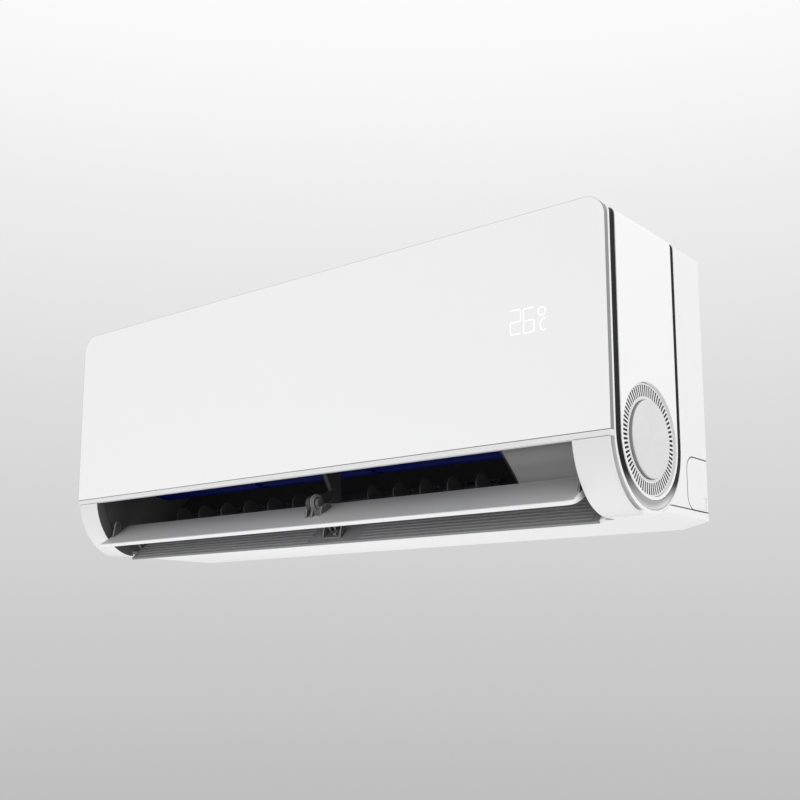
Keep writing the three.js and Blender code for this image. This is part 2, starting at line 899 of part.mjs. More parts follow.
function rearChassis() {
  const side = casingHalf - wall;
  const block = bodyBlock(0, frontY + 85, 0, seamHeight + seamGap)
    .subtract(alongX(lipOutline(fit), -beyondSide, beyondSide));
  const shelf = pipeHigh + wall;
  const above = box(-side, side, -unitDepth, backWallFront, shelf, casingTop - wall);
  const ahead = box(-side, side, -unitDepth, -pipeDepth - wall, -40, shelf + 1);
  const behind = box(-side, side, -pipeDepth, 5, -40, pipeHigh);
  const pocket = box(
    -plateHalf - 2,
    plateHalf + 2,
    -plateRecess,
    5,
    plateLow - 2,
    plateHigh + 2 + hookRise,
  );
  const pipeHole = box(pipeDropX - 16, pipeDropX + 12, -52, -16, pipeHigh - 5, shelf + 5);
  const coverHole = alongX(coverOutline(coverGap), side - 5, beyondSide);
  const slots = [-1, 1].map((s) => box(
    s * hookX - hookWidth / 2 - 2,
    s * hookX + hookWidth / 2 + 2,
    backWallFront - 5,
    5,
    plateHigh - hookRise,
    plateHigh + seat,
  ));
  return block
    .subtract(above)
    .subtract(ahead)
    .subtract(behind)
    .subtract(pocket)
    .subtract(pipeHole)
    .subtract(coverHole)
    .subtract(coverHole.mirror([1, 0, 0]))
    .subtract(join(...slots));
}

function mountingPlate() {
  const plate = box(-plateHalf, plateHalf, -plateThickness, 0, plateLow, plateHigh);
  const hooks = [-1, 1].map((s) => {
    const x0 = s * hookX - hookWidth / 2;
    const x1 = s * hookX + hookWidth / 2;
    const lipBack = backWallFront - seat;
    const tab = box(x0, x1, lipBack - plateThickness, -0.5, plateHigh - plateThickness, plateHigh);
    const lip = box(x0, x1, lipBack - plateThickness, lipBack, plateHigh - 1, plateHigh + hookRise);
    return tab.add(lip);
  });
  const ribs = [plateLow + 30, plateHigh - 36].map((z) =>
    box(20 - plateHalf, plateHalf - 20, -plateRecess + 1, -plateThickness + 0.2, z, z + 6));
  const holes = [-280, -180, -90, 90, 180, 280].flatMap((x) =>
    [plateLow + 14, plateHigh - 16].map((z) =>
      box(x - 9, x + 9, -5, 5, z - 3, z + 3)));
  return join(plate, ...hooks, ...ribs).subtract(join(...holes));
}

function pipeCover() {
  const plate = alongX(coverOutline(0), casingHalf - wall, casingHalf);
  const clip = box(casingHalf - 7, casingHalf - wall + 0.5, -40, -16, coverHigh - 12, coverHigh - 9);
  const notch = box(casingHalf - 1.2, beyondSide, -13, -4, 20, 34);
  return plate.add(clip).subtract(notch);
}

// ---- Air duct ----
function ductHole(y, z, radius, low, high) {
  return rodX(y, z, radius, low, high, 16);
}

function leftCheekOutline() {
  const scroll = shifted(ductLine, -wall / 2).slice(0, -1);
  return [
    ...skinRun(187, 264, cheekInset, 7),
    ...scroll,
    [scroll.at(-1)[0], troughHigh + wall / 2],
    [fanY, fanZ + fanRadius + 10],
    [fanY - 62, fanZ + fanRadius],
    [fanY - 62, panFloor + 14],
    [ceilingFront[0], panFloor + 12],
    ceilingFront,
  ];
}

function bayWallOutline() {
  const scroll = shifted(ductLine, -wall / 2).slice(1, -1);
  return [
    bayFoot,
    ...bayRise,
    [tongueTip[0], tongueTip[1] - 3],
    [tongueTip[0] + 1, tongueTip[1] + 12],
    [fanY - 52, fanZ + 30],
    [fanY - 30, fanZ + fanRadius],
    [fanY, fanZ + fanRadius + 8],
    [scroll.at(-1)[0], troughHigh + wall / 2],
    ...scroll.reverse(),
  ];
}

// Holes in the duct floor for the vane pivots, drawn in the floor's own frame.
function floorHoles() {
  const turn = new THREE.Matrix4().makeRotationX(floorAngle);
  turn.setPosition(0, floorFrontY, floorFrontZ);
  const holes = vaneX.map((x) =>
    prism(circle(x, vaneRun, vanePinRadius + fit, 8), -wall - 2, 2, turn));
  return join(...holes);
}

function airDuct() {
  const left = -cheekX - wall;
  const right = bayX + wall;
  const scroll = alongX(band(ductLine, -wall), left, right);
  const troughFront = ductLine.at(-1)[0];
  const trough = box(left, right, troughFront, -12, troughHigh, troughHigh + wall);
  const lip = box(left, right, -12 - wall, -12, troughHigh, troughHigh + 13);
  const cheek = alongX(leftCheekOutline(), left, -cheekX)
    .subtract(ductHole(fanY, fanZ, bearingRadius + seat, left - 1, 1 - cheekX))
    .subtract(ductHole(upperPivotY, upperPivotZ, pinRadius + pinFit, left - 1, 1 - cheekX))
    .subtract(ductHole(lowerPivotY, lowerPivotZ, pinRadius + pinFit, left - 1, 1 - cheekX));
  const bayWall = alongX(bayWallOutline(), bayX, right)
    .subtract(ductHole(fanY, fanZ, 20, bayX - 1, right + 1));
  return join(scroll, trough, lip, cheek, bayWall).subtract(floorHoles());
}

// Curved panel that closes the outlet in front of the motor bay.
function motorBayPanel() {
  const left = bayX + wall + seat;
  const right = cheekX + wall;
  const sheet = alongX(band(bayLine, -wall), left, right);
  const cheekOutline = [
    ...skinRun(187, 264, cheekInset, 7),
    ...shifted(bayLine, -wall / 2),
  ];
  const cheek = alongX(cheekOutline, cheekX, right)
    .subtract(ductHole(upperPivotY, upperPivotZ, pinRadius + pinFit, cheekX - 1, right + 1))
    .subtract(ductHole(lowerPivotY, lowerPivotZ, pinRadius + pinFit, cheekX - 1, right + 1));
  return sheet.add(cheek);
}

function drainPan() {
  const front = ceilingFront[0];
  const outline = [
    ceilingFront,
    ceilingRear,
    tongueTip,
    [tongueTip[0] - 5, tongueTip[1] + 1],
    [tongueTip[0] - 16, panFloor + 8],
    [tongueTip[0] - 20, panFloor],
    [front + wall, panFloor],
    [front + wall, panFloor + 12],
    [front, panFloor + 12],
  ];
  return alongX(outline, seat - cheekX, bayX - seat);
}

// ---- Fan, motor and bearing ----
function fanBlade(angle) {
  const lean = radians(bladeLead);
  const at = (r, a, side) => {
    const offset = (side * bladeThickness) / 2 / r;
    return [fanY + r * Math.cos(a + offset), fanZ + r * Math.sin(a + offset)];
  };
  const start = radians(angle);
  const outer = fanRadius - 0.6;
  return [
    at(bladeInner, start, -1),
    at(outer, start + lean, -1),
    at(outer, start + lean, 1),
    at(bladeInner, start, 1),
  ];
}

function crossFlowFan() {
  const length = fanRight - fanLeft;
  const sides = 26;
  const discs = [0, 1, 2, 3].map((i) => {
    const x = fanLeft + ((length - discThickness) * i) / 3;
    const disc = rodX(fanY, fanZ, fanRadius, x, x + discThickness, sides);
    const hollow = i === 1 || i === 2;
    const hole = rodX(fanY, fanZ, bladeInner + 1.5, x - 1, x + discThickness + 1, sides);
    return hollow ? disc.subtract(hole) : disc;
  });
  const blades = Array.from({ length: fanBladeCount }, (_, i) =>
    alongX(fanBlade((360 * i) / fanBladeCount), fanLeft + 0.5, fanRight - 0.5));
  const stub = rodX(fanY, fanZ, shaftRadius, fanLeft - 10, fanLeft + 1, 12);
  const hub = rodX(fanY, fanZ, shaftRadius + 8, fanRight - 14, fanRight + 4, 20);
  const bore = rodX(fanY, fanZ, shaftRadius + shaftClearance, fanRight - 12, fanRight + 6, 12);
  return join(...discs, ...blades, stub, hub).subtract(bore);
}

function fanShaft() {
  return rodX(fanY, fanZ, shaftRadius, fanRight - 12 + seat, motorX + 20, 12);
}

function fanBearing() {
  const outer = rodX(fanY, fanZ, bearingRadius, -cheekX - 8, fanLeft - 1.2, 20);
  const bore = rodX(fanY, fanZ, shaftRadius + shaftClearance, -cheekX - 20, fanLeft, 12);
  return outer.subtract(bore);
}

function fanMotor() {
  const body = rodX(fanY, fanZ, motorRadius, motorX + 4, motorX + motorLength, 28);
  const boss = rodX(fanY, fanZ, 14, motorX, motorX + 5, 20);
  const tail = rodX(fanY, fanZ, 16, motorX + motorLength - 1, motorX + motorLength + 6, 20);
  const bore = rodX(fanY, fanZ, shaftRadius + shaftClearance, motorX - 1, motorX + 21, 12);
  return join(body, boss, tail).subtract(bore);
}

function motorClamp() {
  const x0 = motorX + 24;
  const x1 = x0 + 20;
  const ring = rodX(fanY, fanZ, motorRadius + seat + wall, x0, x1, 28);
  const foot = box(x0, x1, fanY + motorRadius - 3, backWallFront - seat, fanZ - 12, fanZ + 12);
  const pad = box(x0, x1, backWallFront - seat - 3, backWallFront - seat, fanZ - 30, fanZ + 30);
  const bore = rodX(fanY, fanZ, motorRadius + seat, x0 - 1, x1 + 1, 28);
  return join(ring, foot, pad).subtract(bore);
}

// ---- Louvres, drawn closed and then turned open about their pivots ----
function armOutline(base, headY, headZ) {
  return hull([...base, ...circle(headY, headZ, armHead, 12)]);
}

function between(p, q, share) {
  return [p[0] + (q[0] - p[0]) * share, p[1] + (q[1] - p[1]) * share];
}

// Arms and pins shared by both flaps: one arm at each end, a fork in the middle.
function flapArms(inner, outer, pivotY, pivotZ, armX) {
  const root = [0.36, 0.64].map((share) => between(inner[0], inner[1], share));
  const sunk = [0.36, 0.64].map((share) => between(outer[0], outer[1], share));
  const shape = armOutline([...root, ...rooted(root, sunk)], pivotY, pivotZ);
  const lugLeft = bracketX - seat - lugThickness;
  const lugRight = bracketX + bracketThickness + seat;
  return join(
    alongX(shape, armX, armX + armThickness),
    alongX(shape, -armX - armThickness, -armX),
    rodX(pivotY, pivotZ, pinRadius, armX, pinEnd, 12),
    rodX(pivotY, pivotZ, pinRadius, -pinEnd, -armX, 12),
    alongX(shape, lugLeft, lugLeft + lugThickness),
    alongX(shape, lugRight, lugRight + lugThickness),
    rodX(pivotY, pivotZ, pinRadius, lugLeft, lugRight + lugThickness, 12),
  );
}

// Points well inside the flap, so that an arm is rooted in it.
function rooted(root, sunk) {
  return root.map((point, i) => between(point, sunk[i], 0.7));
}

function upperFlap() {
  const start = skinAngleAt(capTop);
  const steps = 6;
  const section = (reach) => {
    const drop = flapRound - Math.sqrt(flapRound ** 2 - (flapRound - reach) ** 2);
    const top = start + THREE.MathUtils.radToDeg(drop / drumRadius);
    return [
      ...skinRun(top, splitAngle, 0, steps),
      skinPoint(splitAngle, flapTail),
      skinPoint(top + flapRelief, flapEdge),
    ];
  };
  const reaches = [0.02, 0.3, 1].map((share) => share * flapRound);
  const end = (x, side) =>
    reaches.map((reach) => ({ x: x - side * reach, outline: section(reach) }));
  const sections = [...end(-upperFlapLeft, -1), ...end(upperFlapRight, 1).reverse()];
  const inner = [skinPoint(start, flapEdge), skinPoint(splitAngle, flapTail)];
  const outer = [skinPoint(start, 0), skinPoint(splitAngle, 0)];
  return loftX(sections).add(flapArms(inner, outer, upperPivotY, upperPivotZ, upperArmX));
}

function lowerFlap() {
  const start = splitAngle + 0.7;
  const rear = baseFront - flapGap;
  const outline = [
    ...skinRun(start, 270, 0, 5),
    [rear, 0],
    [rear, flapTail],
    skinPoint(start, flapTail),
  ];
  const inner = [skinPoint(start, flapTail), [rear, flapTail]];
  const outer = [skinPoint(start, 0), [rear, 0]];
  return alongX(outline, -lowerFlapLeft, lowerFlapRight)
    .add(flapArms(inner, outer, lowerPivotY, lowerPivotZ, lowerArmX));
}

// Pillar that hangs from the duct's ceiling and carries both flaps.
function centreBracket() {
  const under = ([y, z]) => [y, z - seat];
  const front = under(between(ceilingFront, ceilingRear, 0.53));
  const rear = under(between(ceilingFront, ceilingRear, 0.98));
  const pillar = [
    front,
    [lowerPivotY + 3, upperPivotZ + 18],
    [lowerPivotY + 5, upperPivotZ + 9],
    [lowerPivotY + 20, upperPivotZ + 11],
    rear,
  ];
  const limb = (fromY, fromZ, toY, toZ, radius) => hull([
    ...circle(fromY, fromZ, radius, 12),
    ...circle(toY, toZ, radius, 12),
  ]);
  const x0 = bracketX;
  const x1 = bracketX + bracketThickness;
  const bore = pinRadius + pinFit;
  const flange = [front, rear, [rear[0], rear[1] - 2], [front[0], front[1] - 2]];
  return join(
    alongX(pillar, x0, x1),
    alongX(flange, x0 - 8, x1 + 8),
    alongX(limb(upperPivotY, upperPivotZ, lowerPivotY + 2, upperPivotZ + 15, 5.5), x0, x1),
    alongX(limb(lowerPivotY, lowerPivotZ, lowerPivotY + 12, upperPivotZ + 14, armHead), x0, x1),
    rodX(upperPivotY, upperPivotZ, bracketHead, x0, x1, 20),
  )
    .subtract(rodX(upperPivotY, upperPivotZ, bore, x0 - 1, x1 + 1, 16))
    .subtract(rodX(lowerPivotY, lowerPivotZ, bore, x0 - 1, x1 + 1, 16));
}

function flapMotor(pivotY, pivotZ) {
  const start = cheekX + wall + seat;
  const body = rodX(pivotY, pivotZ, flapMotorRadius, pinEnd + 1, pinEnd + flapMotorLength, 20);
  const collar = rodX(pivotY, pivotZ, pinRadius + 4, start, pinEnd + 2, 16);
  const socket = rodX(pivotY, pivotZ, pinRadius + pinFit, start - 1, pinEnd + seat, 12);
  return join(body, collar).subtract(socket);
}

// ---- Vanes, drawn in the floor's frame: x, run up the floor, height ----
function vane() {
  const low = vaneLift;
  const high = vaneHeight;
  const round = 14;
  const outline = [
    [-vaneHalf, low + 5],
    [-vaneHalf + 4, low],
    [vaneHalf, low],
    ...arc(0, high - round, round, 0, 180, 8),
  ];
  const plate = alongX(outline, -vaneThickness / 2, vaneThickness / 2);
  const foot = alongZ(circle(0, 0, vanePinRadius, 6), -wall, low + 3);
  const arm = box(-1.6, 1.6, vaneHalf - 3, crankReach + 1.6, linkLow - 3.4, linkLow - 0.8);
  const pin = alongZ(circle(0, crankReach, crankPinRadius, 6), linkLow - 2, linkLow + linkThickness + 2);
  return join(plate, foot, arm, pin);
}

function vaneLink() {
  const swing = radians(vaneSwing);
  const drift = crankReach * (1 - Math.cos(swing));
  const mismatch = crankReach * (swing - Math.sin(swing));
  const across = crankPinRadius + mismatch + linkSlack;
  const near = vaneRun + crankReach - drift - crankPinRadius - linkSlack;
  const far = vaneRun + crankReach + crankPinRadius + linkSlack;
  const rim = 2.2;
  const high = linkLow + linkThickness;
  const bar0 = box(vaneX[0] - 8, vaneX.at(-1) + 8, near - rim, far + rim, linkLow, high);
  const slots = vaneX.map((x) => box(x - across, x + across, near, far, linkLow - 2, high + 2));
  return bar0.subtract(join(...slots));
}

function vaneMotor() {
  const top = -wall - seat;
  const body = alongZ(circle(vaneX[leadVane], vaneRun, 12, 20), top - 17, top);
  const ears = box(
    vaneX[leadVane] - 17,
    vaneX[leadVane] + 17,
    vaneRun - 3,
    vaneRun + 3,
    top - 2,
    top,
  );
  return join(body, ears);
}

// ---- Evaporator ----
const frontLow = [
  [casingFront + frameDepth + 18, panFloor + seat],
  [casingFront + frameDepth + 18 + slabThickness, panFloor + seat],
  [casingFront + frameDepth + 18 + slabThickness, fanZ + 50],
  [casingFront + frameDepth + 18, fanZ + 50],
];

// A slab from one point to another, with a flat foot at the given height.
function slab(from, to, foot) {
  const run = Math.hypot(to[0] - from[0], to[1] - from[1]);
  const along = [(to[0] - from[0]) / run, (to[1] - from[1]) / run];
  const normal = [along[1], -along[0]];
  const edge = (point, side) => [
    point[0] + (normal[0] * side * slabThickness) / 2,
    point[1] + (normal[1] * side * slabThickness) / 2,
  ];
  const end = (side) => {
    const corner = edge(to, side);
    if (foot === null) return corner;
    const extra = (foot - corner[1]) / along[1];
    return [corner[0] + along[0] * extra, foot];
  };
  return [edge(from, -1), end(-1), end(1), edge(from, 1)];
}

const frontHigh = slab([frontY + 54, 207], [frontY + 109, slabTopZ], null);
const rearSlab = slab([frontY + 139, slabTopZ - 7], [-40, 205], troughHigh + wall + seat);

function tubeSheet(x0, x1, outward) {
  const slabs = [frontLow, frontHigh, rearSlab];
  const plates = slabs.map((outline) => alongX(outline, x0, x1));
  const lower = hull([frontLow[2], frontLow[3], frontHigh[0], frontHigh[3]]);
  const upper = hull([frontHigh[1], frontHigh[2], rearSlab[0], rearSlab[3]]);
  const outside = outward > 0 ? x1 : x0;
  const bends = slabs.flatMap((outline) =>
    [0.15, 0.4, 0.65].map((share) => {
      const centre = between(
        between(outline[0], outline[3], 0.5),
        between(outline[1], outline[2], 0.5),
        share,
      );
      const along = [outline[1][0] - outline[0][0], outline[1][1] - outline[0][1]];
      const alongRun = Math.hypot(...along);
      const across = outline === frontLow ? [0, 1] : [along[0] / alongRun, along[1] / alongRun];
      return returnBend(centre, across, outside, outward);
    }));
  return join(...plates, alongX(lower, x0, x1), alongX(upper, x0, x1), ...bends);
}

// A half-circle of tube that turns back into the sheet.
function returnBend([y, z], across, x, outward) {
  const steps = 4;
  const points = Array.from({ length: steps + 1 }, (_, i) => {
    const angle = (Math.PI * i) / steps;
    const aside = -bendRadius * Math.cos(angle);
    const out = bendRadius * 0.72 * Math.sin(angle) - 0.5;
    return [x + outward * out, y + across[0] * aside, z + across[1] * aside];
  });
  return bar(points, tubeRadius - 0.7, 5, steps);
}

function slabPiece(outline) {
  return alongX(outline, evaporatorLeft + seat, evaporatorRight - seat);
}

function pipe(y, radius, startZ, nutX, nutRadius) {
  const start = evaporatorRight + sheetThickness + seat;
  const points = [
    [start, y, startZ],
    [start + 40, y, startZ],
    [pipeDropX - 8, y, startZ - 16],
    [pipeDropX, y, 150],
    [pipeDropX, y, 80],
    [pipeDropX - 10, y, 56],
    [pipeDropX - 34, y, pipeRunZ],
    [nutX, y, pipeRunZ],
  ];
  const nut = alongX(circle(y, pipeRunZ, nutRadius, 6), nutX - 12, nutX + 8);
  return bar(points, radius, 8, 18).add(nut);
}

// ---- Control box ----
const boxRight = innerSide - seat;

function controlBox() {
  const outer = box(boxLeft, boxRight, boxFront, boxRear, boxLow, boxHigh);
  const inner = box(
    boxLeft + boxWall,
    boxRight - boxWall,
    boxFront - 5,
    boxRear - boxWall,
    boxLow + boxWall,
    boxHigh - boxWall,
  );
  return outer.subtract(inner);
}

function controlBoard() {
  const y = boxRear - boxWall - seat;
  const left = boxLeft + boxWall + 4;
  const right = boxRight - boxWall - 4;
  const low = boxLow + boxWall + 6;
  const high = boxHigh - boxWall - 6;
  const board = box(left, right, y - 5, y - 3.4, low, high);
  const posts = [[left + 5, low + 5], [right - 5, low + 5], [left + 5, high - 5], [right - 5, high - 5]]
    .map(([x, z]) => box(x - 2, x + 2, y - 3.6, y, z - 2, z + 2));
  const parts = [
    [12, 12, 16, 24, 20],
    [36, 14, 14, 18, 16],
    [14, 52, 30, 34, 30],
    [52, 60, 12, 30, 14],
    [14, 104, 18, 14, 12],
    [40, 110, 24, 40, 8],
  ].map(([x, z, w, h, d]) => box(left + x, left + x + w, y - 4.8 - d, y - 4.8, low + z, low + z + h));
  return join(board, ...posts, ...parts);
}

function controlCover() {
  const y = boxFront - seat;
  const plate = box(boxLeft, boxRight, y - boxWall, y, boxLow, boxHigh);
  const lip = box(
    boxLeft + boxWall + fit,
    boxRight - boxWall - fit,
    y - 0.5,
    y + 5,
    boxLow + boxWall + fit,
    boxHigh - boxWall - fit,
  );
  const hollow = box(
    boxLeft + 3 * boxWall,
    boxRight - 3 * boxWall,
    y,
    y + 10,
    boxLow + 3 * boxWall,
    boxHigh - 3 * boxWall,
  );
  return plate.add(lip).subtract(hollow);
}

function terminalBlock() {
  const y = boxFront - seat - boxWall - seat;
  const base = box(boxLeft + 8, boxRight - 8, y - 9, y, boxLow + 6, boxLow + 34);
  const cells = [0, 1, 2, 3].map((i) => {
    const x = boxLeft + 12 + i * 16;
    return box(x, x + 12, y - 12, y - 4, boxLow + 12, boxLow + 28);
  });
  return base.subtract(join(...cells));
}

// ---- Air filters ----
function airFilter() {
  const x0 = filterInner + fit;
  const x1 = filterOuter - fit;
  const y0 = filterFront + fit;
  const y1 = filterRear - fit;
  const ledge = casingTop - topWall / 2 + seat;
  const flange = box(
    x0 - filterFlange + fit,
    x1 + filterFlange - fit,
    y0 - filterFlange + fit,
    y1 + filterFlange - fit,
    ledge,
    casingTop,
  );
  const skirt = box(x0, x1, y0, y1, casingTop - filterSkirt, ledge + 0.5);
  const columns = 6;
  const rows = 2;
  const rib = 3;
  const wide = (x1 - x0 - rib) / columns;
  const deep = (y1 - y0 - rib) / rows;
  const cells = Array.from({ length: columns * rows }, (_, i) => {
    const x = x0 + rib + (i % columns) * wide;
    const y = y0 + rib + Math.floor(i / columns) * deep;
    return box(x, x + wide - rib, y, y + deep - rib, casingTop - 20, casingTop + 5);
  });
  const middle = (x0 + x1) / 2;
  const grip = box(middle - 22, middle + 22, y0 + 1, y0 + 15, casingTop - filterSkirt, casingTop - 2);
  return join(flange, skirt).subtract(join(...cells)).add(grip);
}

// ---- Assembly ----
const unit = new THREE.Group();
unit.position.z = -mountHeight;

function add(name, solid, material, parent = unit, side = 1) {
  const mesh = new THREE.Mesh(geometryOf(solid), material);
  mesh.name = name;
  mesh.scale.x = side;
  parent.add(mesh);
}

function addPair(name, solid, material) {
  add("left_" + name, solid, material, unit, -1);
  add("right_" + name, solid, material);
}

function hinged(y, z, degrees) {
  const group = new THREE.Group();
  group.position.set(0, y, z);
  group.rotation.x = radians(degrees);
  unit.add(group);
  return group;
}

add("mounting_plate", mountingPlate(), zinc);
add("rear_chassis", rearChassis(), chassisWhite);
add("bottom_cover", bottomCover(), white);
add("front_casing", frontCasing(), white);
add("front_panel", frontPanel(), gloss);
add("panel_frame", panelFrame(), edgeGrey);
add("panel_trim", panelTrim(), brightTrim);
add("display_board", displayBoard(), boardGreen);
addPair("channel_trim", channelTrim(), channelMetal);
addPair("pill_cover", pillCover(), gloss);
addPair("vent_ring", ventRing(), white);
addPair("vent_disc", ventDisc(), discSilver);
addPair("pipe_cover", pipeCover(), chassisWhite);
addPair("end_cap", endCap(), gloss);
add("air_duct", airDuct(), ductDark);
add("motor_bay_panel", motorBayPanel(), bayGrey);
add("drain_pan", drainPan(), ductDark);
add("cross_flow_fan", crossFlowFan(), fanBlue);
add("fan_shaft", fanShaft(), steel);
add("fan_bearing", fanBearing(), rubber);
add("fan_motor", fanMotor(), motorBlack);
add("motor_clamp", motorClamp(), zinc);
add("centre_bracket", centreBracket(), ductDark);
add("upper_flap_motor", flapMotor(upperPivotY, upperPivotZ), boxGrey);
add("lower_flap_motor", flapMotor(lowerPivotY, lowerPivotZ), boxGrey);

const upperHinge = hinged(upperPivotY, upperPivotZ, upperOpen);
const lowerHinge = hinged(lowerPivotY, lowerPivotZ, lowerOpen);
add("upper_flap", upperFlap().translate([0, -upperPivotY, -upperPivotZ]), flapGrey, upperHinge);
add("lower_flap", lowerFlap().translate([0, -lowerPivotY, -lowerPivotZ]), ribGrey, lowerHinge);

const ductFloor = new THREE.Group();
ductFloor.position.set(0, floorFrontY, floorFrontZ);
ductFloor.rotation.x = floorAngle;
unit.add(ductFloor);
vaneX.forEach((x, i) => {
  const pivot = new THREE.Group();
  pivot.position.set(x, vaneRun, 0);
  ductFloor.add(pivot);
  add("vane_" + (i + 1), vane(), ductDark, pivot);
});
add("vane_link", vaneLink(), ductDark, ductFloor);
add("vane_motor", vaneMotor(), boxGrey, ductFloor);

add("evaporator_front_low", slabPiece(frontLow), finAluminium);
add("evaporator_front_high", slabPiece(frontHigh), finAluminium);
add("evaporator_rear", slabPiece(rearSlab), finAluminium);
add("tube_sheet_left", tubeSheet(evaporatorLeft - sheetThickness, evaporatorLeft, -1), copper);
add("tube_sheet_right", tubeSheet(evaporatorRight, evaporatorRight + sheetThickness, 1), copper);
add("gas_pipe", pipe(gasPipeY, 6, 208, 150, 11), copper);
add("liquid_pipe", pipe(liquidPipeY, 3.2, 214, 190, 7), copper);
add("control_box", controlBox(), boxGrey);
add("control_board", controlBoard(), boardGreen);
add("control_cover", controlCover(), boxGrey);
add("terminal_block", terminalBlock(), motorBlack);
addPair("filter", airFilter(), filterDark);

export default unit;
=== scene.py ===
import bmesh
import bpy
import json
import numpy as np
from math import asin, cos, degrees, dist, pi, radians, sin, sqrt
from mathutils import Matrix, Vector


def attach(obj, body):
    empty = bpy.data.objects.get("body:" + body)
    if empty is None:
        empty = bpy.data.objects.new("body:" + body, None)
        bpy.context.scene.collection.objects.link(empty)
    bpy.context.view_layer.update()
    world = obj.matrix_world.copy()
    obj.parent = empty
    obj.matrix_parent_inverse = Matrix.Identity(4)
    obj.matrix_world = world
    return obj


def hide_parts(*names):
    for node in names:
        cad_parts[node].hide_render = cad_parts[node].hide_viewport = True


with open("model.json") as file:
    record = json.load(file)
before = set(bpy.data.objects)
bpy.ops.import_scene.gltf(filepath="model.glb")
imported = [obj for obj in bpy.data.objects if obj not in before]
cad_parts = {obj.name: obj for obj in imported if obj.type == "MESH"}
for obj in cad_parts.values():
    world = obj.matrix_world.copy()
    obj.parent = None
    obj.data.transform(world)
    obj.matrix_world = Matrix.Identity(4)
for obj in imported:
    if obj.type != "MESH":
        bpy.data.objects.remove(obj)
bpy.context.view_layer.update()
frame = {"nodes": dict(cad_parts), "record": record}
nodes = frame["nodes"]
scene = bpy.context.scene
bodyOf = {node: body for body, members in frame["record"]["behaviour"]["bodies"].items() for node in members}
print("frame loaded:", len(nodes), "nodes")

# Sizes below are in mm from the wall plane and the underside, as the part is drawn.
plateMiddle = 196.0


def toRow(points):
    return (np.asarray(points, float) - (0, 0, plateMiddle)) / 1000


def circle(a, b, radius, sides):
    return [(a + radius * cos(2 * pi * i / sides), b + radius * sin(2 * pi * i / sides)) for i in range(sides)]


def linked(name, data):
    made = bpy.data.objects.new(name, data)
    scene.collection.objects.link(made)
    return made


def linear(value):
    share = value / 255
    return share / 12.92 if share <= 0.04045 else ((share + 0.055) / 1.055) ** 2.4


# ---- shader helpers ----
def emptyTree(owner):
    owner.use_nodes = True
    owner.node_tree.nodes.clear()
    return owner.node_tree


# Sets or links sockets; a node given as a value stands for its first output.
def feed(made, inputs):
    for socket, value in inputs.items():
        if isinstance(value, bpy.types.Node):
            value = value.outputs[0]
        if isinstance(value, bpy.types.NodeSocket):
            made.id_data.links.new(value, made.inputs[socket])
        else:
            made.inputs[socket].default_value = value


def addNode(tree, kind, inputs=None, **settings):
    made = tree.nodes.new(kind if kind.startswith("NodeGroup") else "ShaderNode" + kind)
    for key, value in settings.items():
        setattr(made, key, value)
    feed(made, inputs or {})
    return made


def compute(tree, operation, *values, kind="Math"):
    return addNode(tree, kind, dict(enumerate(values)), operation=operation)


def scaled(tree, vector, scale):
    return addNode(tree, "VectorMath", {0: vector, "Scale": scale}, operation="SCALE")


def ranged(tree, value, first, last, low=0.0, high=1.0, **settings):
    return addNode(tree, "MapRange", {"Value": value, "From Min": first, "From Max": last, "To Min": low,
                                      "To Max": high}, **settings)


noiseReach = (0.25, 0.8)


# A noise's usual reach, spread over two shares of a look's roughness.
def uneven(tree, value, look):
    low, high = look["uneven"]
    return ranged(tree, value, *noiseReach, look["roughness"] * low, look["roughness"] * high)


def objectPlace(tree):
    return addNode(tree, "TexCoord").outputs["Object"]


def apart(tree, vector):
    return addNode(tree, "SeparateXYZ", {0: vector}).outputs


def noise(tree, vector, scale, detail):
    return addNode(tree, "TexNoise", {"Vector": vector, "Scale": scale, "Detail": detail})


def lineNoise(tree, value, scale, detail):
    return addNode(tree, "TexNoise", {"W": value, "Scale": scale, "Detail": detail}, noise_dimensions="1D")


def bump(tree, height, strength, distance, **more):
    return addNode(tree, "Bump", {"Height": height, "Strength": strength, "Distance": distance, **more})


def seenRays(tree, *kinds):
    path = addNode(tree, "LightPath").outputs
    seen = path["Is Camera Ray"]
    for kind in kinds:
        seen = compute(tree, "MAXIMUM", seen, path["Is %s Ray" % kind])
    return seen


# Colours at positions of their own scale, spread over a value from its first to its last.
def colourRamp(tree, value, first, last, stops):
    ramp = addNode(tree, "ValToRGB", {"Fac": ranged(tree, value, first, last)})
    elements = ramp.color_ramp.elements
    elements.remove(elements[1])
    elements[0].color = stops[0][1]
    low, high = stops[0][0], stops[-1][0]
    for position, colour in stops[1:]:
        elements.new((position - low) / (high - low)).color = colour
    return ramp


# ---- camera, world, lamps, floor ----
cameraLook = {"at": (0.9854, -1.2347, -0.3336), "tilt": 99.28, "turn": 39.02, "sensor": 36, "lens": 50.47,
              "shift": 0.081}


def makeCamera(look):
    data = bpy.data.cameras.new("camera")
    data.sensor_width, data.lens, data.shift_y = look["sensor"], look["lens"], look["shift"]
    camera = linked("camera", data)
    camera.location = look["at"]
    camera.rotation_euler = (radians(look["tilt"]), 0, radians(look["turn"]))
    scene.camera = camera
    scene.view_settings.view_transform = "Standard"


worldLook = {
    "lightLevel": 0.86,
    # sine of the view's elevation, and the tone seen there
    "backdrop": [(-0.30, 186), (-0.122, 191), (-0.087, 194), (-0.045, 199), (-0.002, 202), (0.042, 206),
                 (0.077, 210), (0.13, 214), (0.218, 222), (0.304, 231), (0.384, 238), (0.445, 245),
                 (0.486, 249), (0.56, 253), (0.70, 255)],
}


